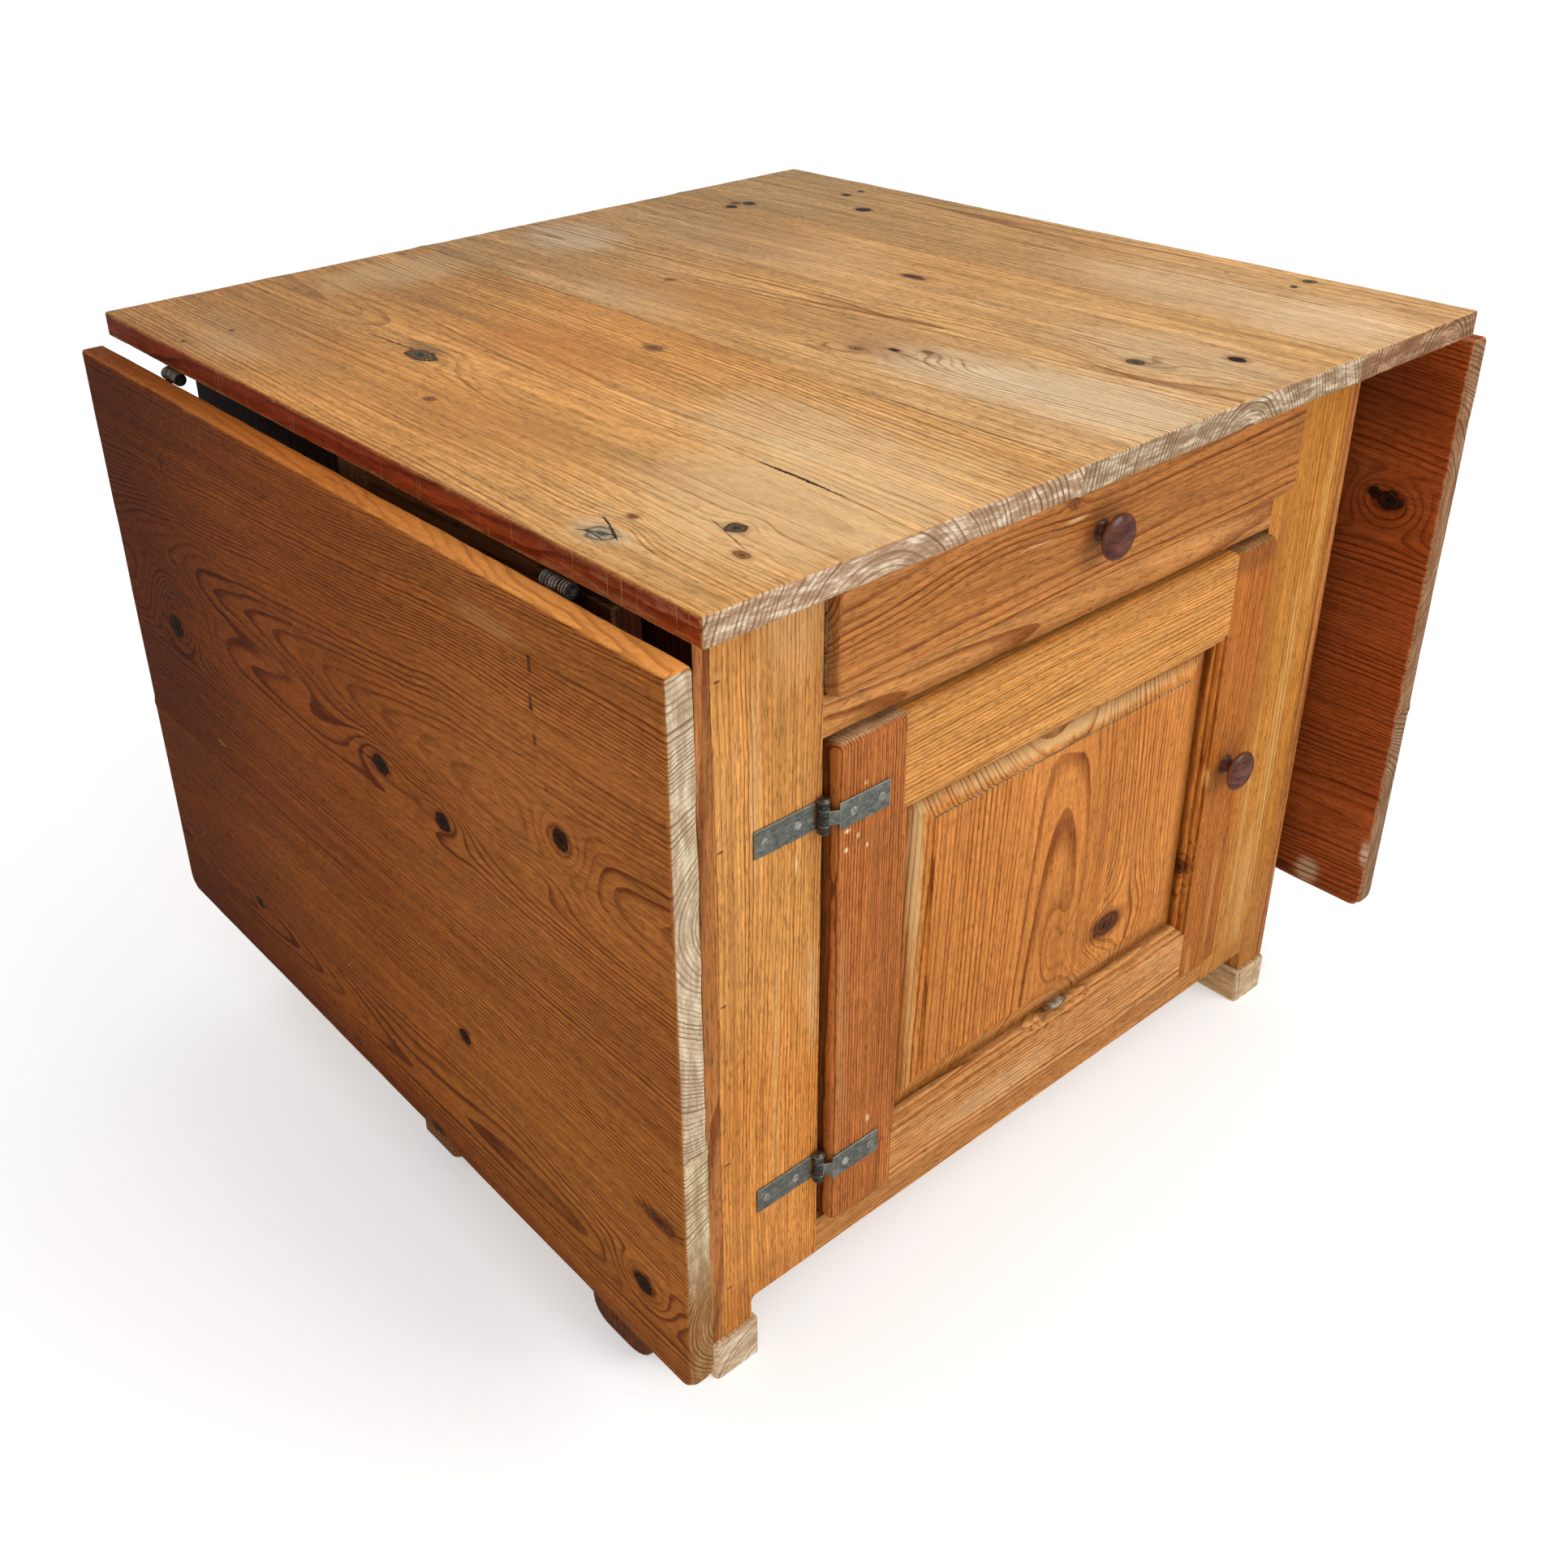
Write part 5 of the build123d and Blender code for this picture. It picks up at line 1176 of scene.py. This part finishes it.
for side in ("left", "right"):
    carry("gate_" + side + "_post", m_gate_v, 0.6)
    carry("gate_" + side + "_rail_top", m_gate_h, 1.0)
    carry("gate_" + side + "_rail_bottom", m_gate_h, 1.0)
    carry("gate_pivot_block_" + side, m_gate_v, 1.0)
for n in nodes:
    if n.startswith("leaf_hinge_") and n.endswith("arms") or n.endswith("leaf_hinge_arms"):
        carry(n, m_hinge, 0.25)
    elif n == "leaf_hinge_pins":
        carry(n, m_pin, 0.3)
    elif n == "door_hinge_pins":
        carry(n, m_pin, 0.3)
    elif n in ("top_arm_screws", "left_leaf_screws", "right_leaf_screws"):
        carry(n, m_screw_dark, 0.0)


# =====================================================================
# Strap hinges: hammered plates, rolled barrels and slotted screws
# =====================================================================
def join(parts):
    co, faces, em, k = [], [], [], 0
    for c, f, e in parts:
        co.append(np.asarray(c, float))
        faces += [tuple(int(i) + k for i in q) for q in f]
        em.append(np.asarray(e, float))
        k += len(c)
    return np.concatenate(co), faces, np.concatenate(em)


def plate_mesh(x0, x1, y0, y1, z0, z1, seed, slant=0.0, x_ref=0.0):
    """A forged plate: uneven outline, hammer marks, soft arrises."""
    def shape(co):
        out = co.copy()
        w = fbm(co * np.array([0.055, 0.0, 0.055]), seed, 2)
        zc = (z0 + z1) / 2
        out[:, 2] = zc + (co[:, 2] - zc) * (1 - 0.012 - 0.018 * np.abs(w))
        front = co[:, 1] < (y0 + y1) / 2
        d = np.clip(fbm(co * np.array([0.16, 0.0, 0.16]), seed + 3, 2), -0.2, 1.0)
        out[front, 1] += 0.30 * np.clip(d[front], 0, 1)
        out[:, 1] += slant * (co[:, 0] - x_ref)
        return out
    return worn_box((x0, y0, z0), (x1, y1, z1), r=0.7, step=1.6, seed=seed, wear=0.4, dent=0.0, shape=shape)


def knuckle(x, y, z0, z1, r, seed):
    h = z1 - z0
    prof = [(0.0, 0.0), (r - 1.0, 0.0), (r - 0.4, 0.12), (r - 0.08, 0.45), (r, 1.0), (r - 0.05, h * 0.3), (r - 0.12, h * 0.5),
            (r - 0.04, h * 0.75), (r, h - 1.0), (r - 0.08, h - 0.45), (r - 0.4, h - 0.12), (r - 1.0, h), (0.0, h)]
    co, faces = lathe(prof, (x, y, z0), "z", 40, 0.008, seed)
    em = np.minimum(co[:, 2] - z0, z1 - co[:, 2]).clip(0, 5)
    return co, faces, em


def screw_head(x, y, z, r, turn, depth=0.75):
    """Two half moons with a slot between them, on a disc; the head faces -Y."""
    parts = []
    half = 0.55
    t0 = math.asin(half / r)
    for side in (0, 1):
        th = np.linspace(t0, math.pi - t0, 17) + side * math.pi
        n = len(th)
        rows = []
        for k_, h_ in ((1.0, -0.3), (1.0, depth * 0.35), (0.94, depth * 0.75), (0.8, depth)):
            u, v = r * k_ * np.cos(th), r * k_ * np.sin(th)
            lim = half if side == 0 else -half
            v = np.maximum(v, half) if side == 0 else np.minimum(v, -half)
            rows.append(np.stack([u, v, np.full(n, h_)], 1))
        co = np.concatenate(rows)
        faces = []
        for a_ in range(3):
            for i in range(n):
                j = (i + 1) % n
                faces.append((a_ * n + i, a_ * n + j, (a_ + 1) * n + j, (a_ + 1) * n + i))
        faces.append(tuple(3 * n + i for i in range(n)))
        faces.append(tuple(n - 1 - i for i in range(n)))
        parts.append((co, faces, np.concatenate([[0.0] * n, [0.2] * n, [0.9] * n, [1.8] * n])))
    seg = 28
    t = np.linspace(0, 2 * math.pi, seg, endpoint=False)
    co = np.concatenate([np.stack([r * 0.97 * np.cos(t), r * 0.97 * np.sin(t), np.full(seg, -0.3)], 1),
                         np.stack([r * 0.97 * np.cos(t), r * 0.97 * np.sin(t), np.full(seg, 0.06)], 1)])
    faces = [(i, (i + 1) % seg, seg + (i + 1) % seg, seg + i) for i in range(seg)]
    faces += [tuple(seg + i for i in range(seg)), tuple(seg - 1 - i for i in range(seg))]
    parts.append((co, faces, np.full(2 * seg, 5.0)))
    co, faces, em = join(parts)
    c_, s_ = math.cos(turn), math.sin(turn)
    u, v, h_ = co[:, 0] * c_ - co[:, 1] * s_, co[:, 0] * s_ + co[:, 1] * c_, co[:, 2]
    return np.stack([x + u, y - h_, z + v], 1), faces, em


HX, HY = -278.5, -372.5                # axis of the door hinge
frame_heads, door_heads = [], []
for which, turn in (("upper", (0.5, 1.1, 1.9, 0.4)), ("lower", (1.2, 0.2, 0.7, 1.5))):
    lo, hi = bounds_mm("door_hinge_%s_plate" % which)
    zc = (lo[2] + hi[2]) / 2
    z0, z1 = zc - 12.0, zc + 12.0
    b0, b1, m0, m1 = zc - 14.0, zc + 14.0, zc - 6.5, zc + 6.5
    sd_ = 40 + int(zc)
    body_plate = [plate_mesh(-342.0, -284.2, -369.0, -367.05, z0, z1, sd_)]
    for za, zb in ((z0 + 0.2, m0 - 0.5), (m1 + 0.5, z1 - 0.2)):
        body_plate.append(plate_mesh(-285.5, -277.5, -369.2, -367.1, za, zb, sd_ + 5))
    co, faces, em = join(body_plate)
    make("door_hinge_%s_plate_look" % which, co, faces, m_strap, "carcass", ["door_hinge_%s_plate" % which], em)
    co, faces, em = join([knuckle(HX, HY, b0, m0 - 0.4, 5.0, 1), knuckle(HX, HY, m1 + 0.4, b1, 5.0, 2)])
    make("door_hinge_%s_plate_barrels_look" % which, co, faces, m_barrel, "carcass", (), em)
    strap_ = [plate_mesh(-270.6, -219.0, -382.0, -380.05, z0, z1, sd_ + 9),
              plate_mesh(-278.0, -269.6, -382.0, -380.0, m0 + 0.3, m1 - 0.3, sd_ + 13, slant=-0.5, x_ref=-270.0)]
    co, faces, em = join(strap_)
    make("door_hinge_%s_strap_look" % which, co, faces, m_strap, "door", ["door_hinge_%s_strap" % which], em)
    co, faces, em = knuckle(HX, HY, m0, m1, 5.0, 3)
    make("door_hinge_%s_strap_barrel_look" % which, co, faces, m_barrel, "door", (), em)
    frame_heads += [screw_head(-333.0, -369.0, zc, 3.6, turn[0]), screw_head(-301.0, -369.0, zc, 3.6, turn[1])]
    door_heads += [screw_head(-257.0, -382.0, zc, 3.6, turn[2]), screw_head(-228.0, -382.0, zc, 3.6, turn[3])]
co, faces, em = join(frame_heads)
make("door_hinge_plate_screws_look", co, faces, m_screw, "carcass", ["door_hinge_plate_screws"], em, smooth=False)
co, faces, em = join(door_heads)
make("door_strap_screws_look", co, faces, m_screw, "door", ["door_strap_screws"], em, smooth=False)

# =====================================================================
# Leaf hinges: worn ridges round each knuckle
# =====================================================================
def ridged(x, y0, y1, z, r, n, seed):
    """A thin closed sleeve with n ridges round it, from y0 to y1."""
    h = y1 - y0
    prof = []
    for i in range(6 * n + 1):
        t = i / (6.0 * n)
        up = 0.5 - 0.5 * math.cos(2 * math.pi * n * t)
        prof.append((r + 0.04 + 0.31 * up ** 0.7, t * h))
    prof = [(r - 0.05, 0.0)] + prof + [(r - 0.05, h)]
    co, faces = lathe(prof, (x, y0, z), "y", 40, 0.004, seed)
    k, last = 40, (len(prof) - 1) * 40
    faces += [(last + i, last + (i + 1) % k, (i + 1) % k, i) for i in range(k)]
    rad = np.hypot(co[:, 0] - x, co[:, 2] - z)
    return co, faces, np.clip((r + 0.33 - rad) * 7.0, 0, 5)


for side, s in (("left", -1), ("right", 1)):
    fixed, moving = [], []
    for yc in (-293.0, 293.0):
        for ya, yb, group in ((yc - 15.0, yc - 5.4, fixed), (yc + 5.4, yc + 15.0, fixed), (yc - 5.0, yc + 5.0, moving)):
            group.append(ridged(s * 440.5, ya + 0.12, yb - 0.12, 727.0, 5.4, 3, int(yb) % 7))
    co, faces, em = join(fixed)
    make("leaf_hinge_%s_top_knuckles_look" % side, co, faces, m_coil, "carcass", (), em)
    co, faces, em = join(moving)
    make("%s_leaf_hinge_knuckles_look" % side, co, faces, m_coil, side + "_leaf", (), em)

# =====================================================================
# Turned knobs
# =====================================================================
knob_prof = smooth_profile([(0.01, -17.6), (4.6, -17.4), (4.9, -9.0), (4.9, -0.6), (9.3, 0.15), (9.3, 0.9), (8.2, 1.9), (7.0, 3.2), (6.5, 6.0),
                            (7.1, 9.0), (9.0, 11.3), (13.6, 12.8), (17.6, 13.9), (19.3, 15.2), (19.5, 16.8), (18.6, 18.6), (15.4, 20.8),
                            (10.6, 22.7), (5.4, 23.75), (0.01, 24.0)], 5)
knob_prof[0] = (0.0, knob_prof[0][1])
knob_prof[-1] = (0.0, 24.0)
knob_prof = [(min(r, 19.55), min(h, 24.0)) for r, h in knob_prof]
for name, (x, y, z), body in (("drawer_knob", (11.0, -379.0, 657.5), "drawer"), ("door_knob", (239.0, -380.0, 351.0), "door")):
    co, faces = lathe(knob_prof, (x, y, z), "y-", 72, 0.004)
    r_ = np.hypot(co[:, 0] - x, co[:, 2] - z)
    make(name + "_look", co, faces, m_knob, body, [name], edge=np.clip(19.6 - r_, 0, 20))
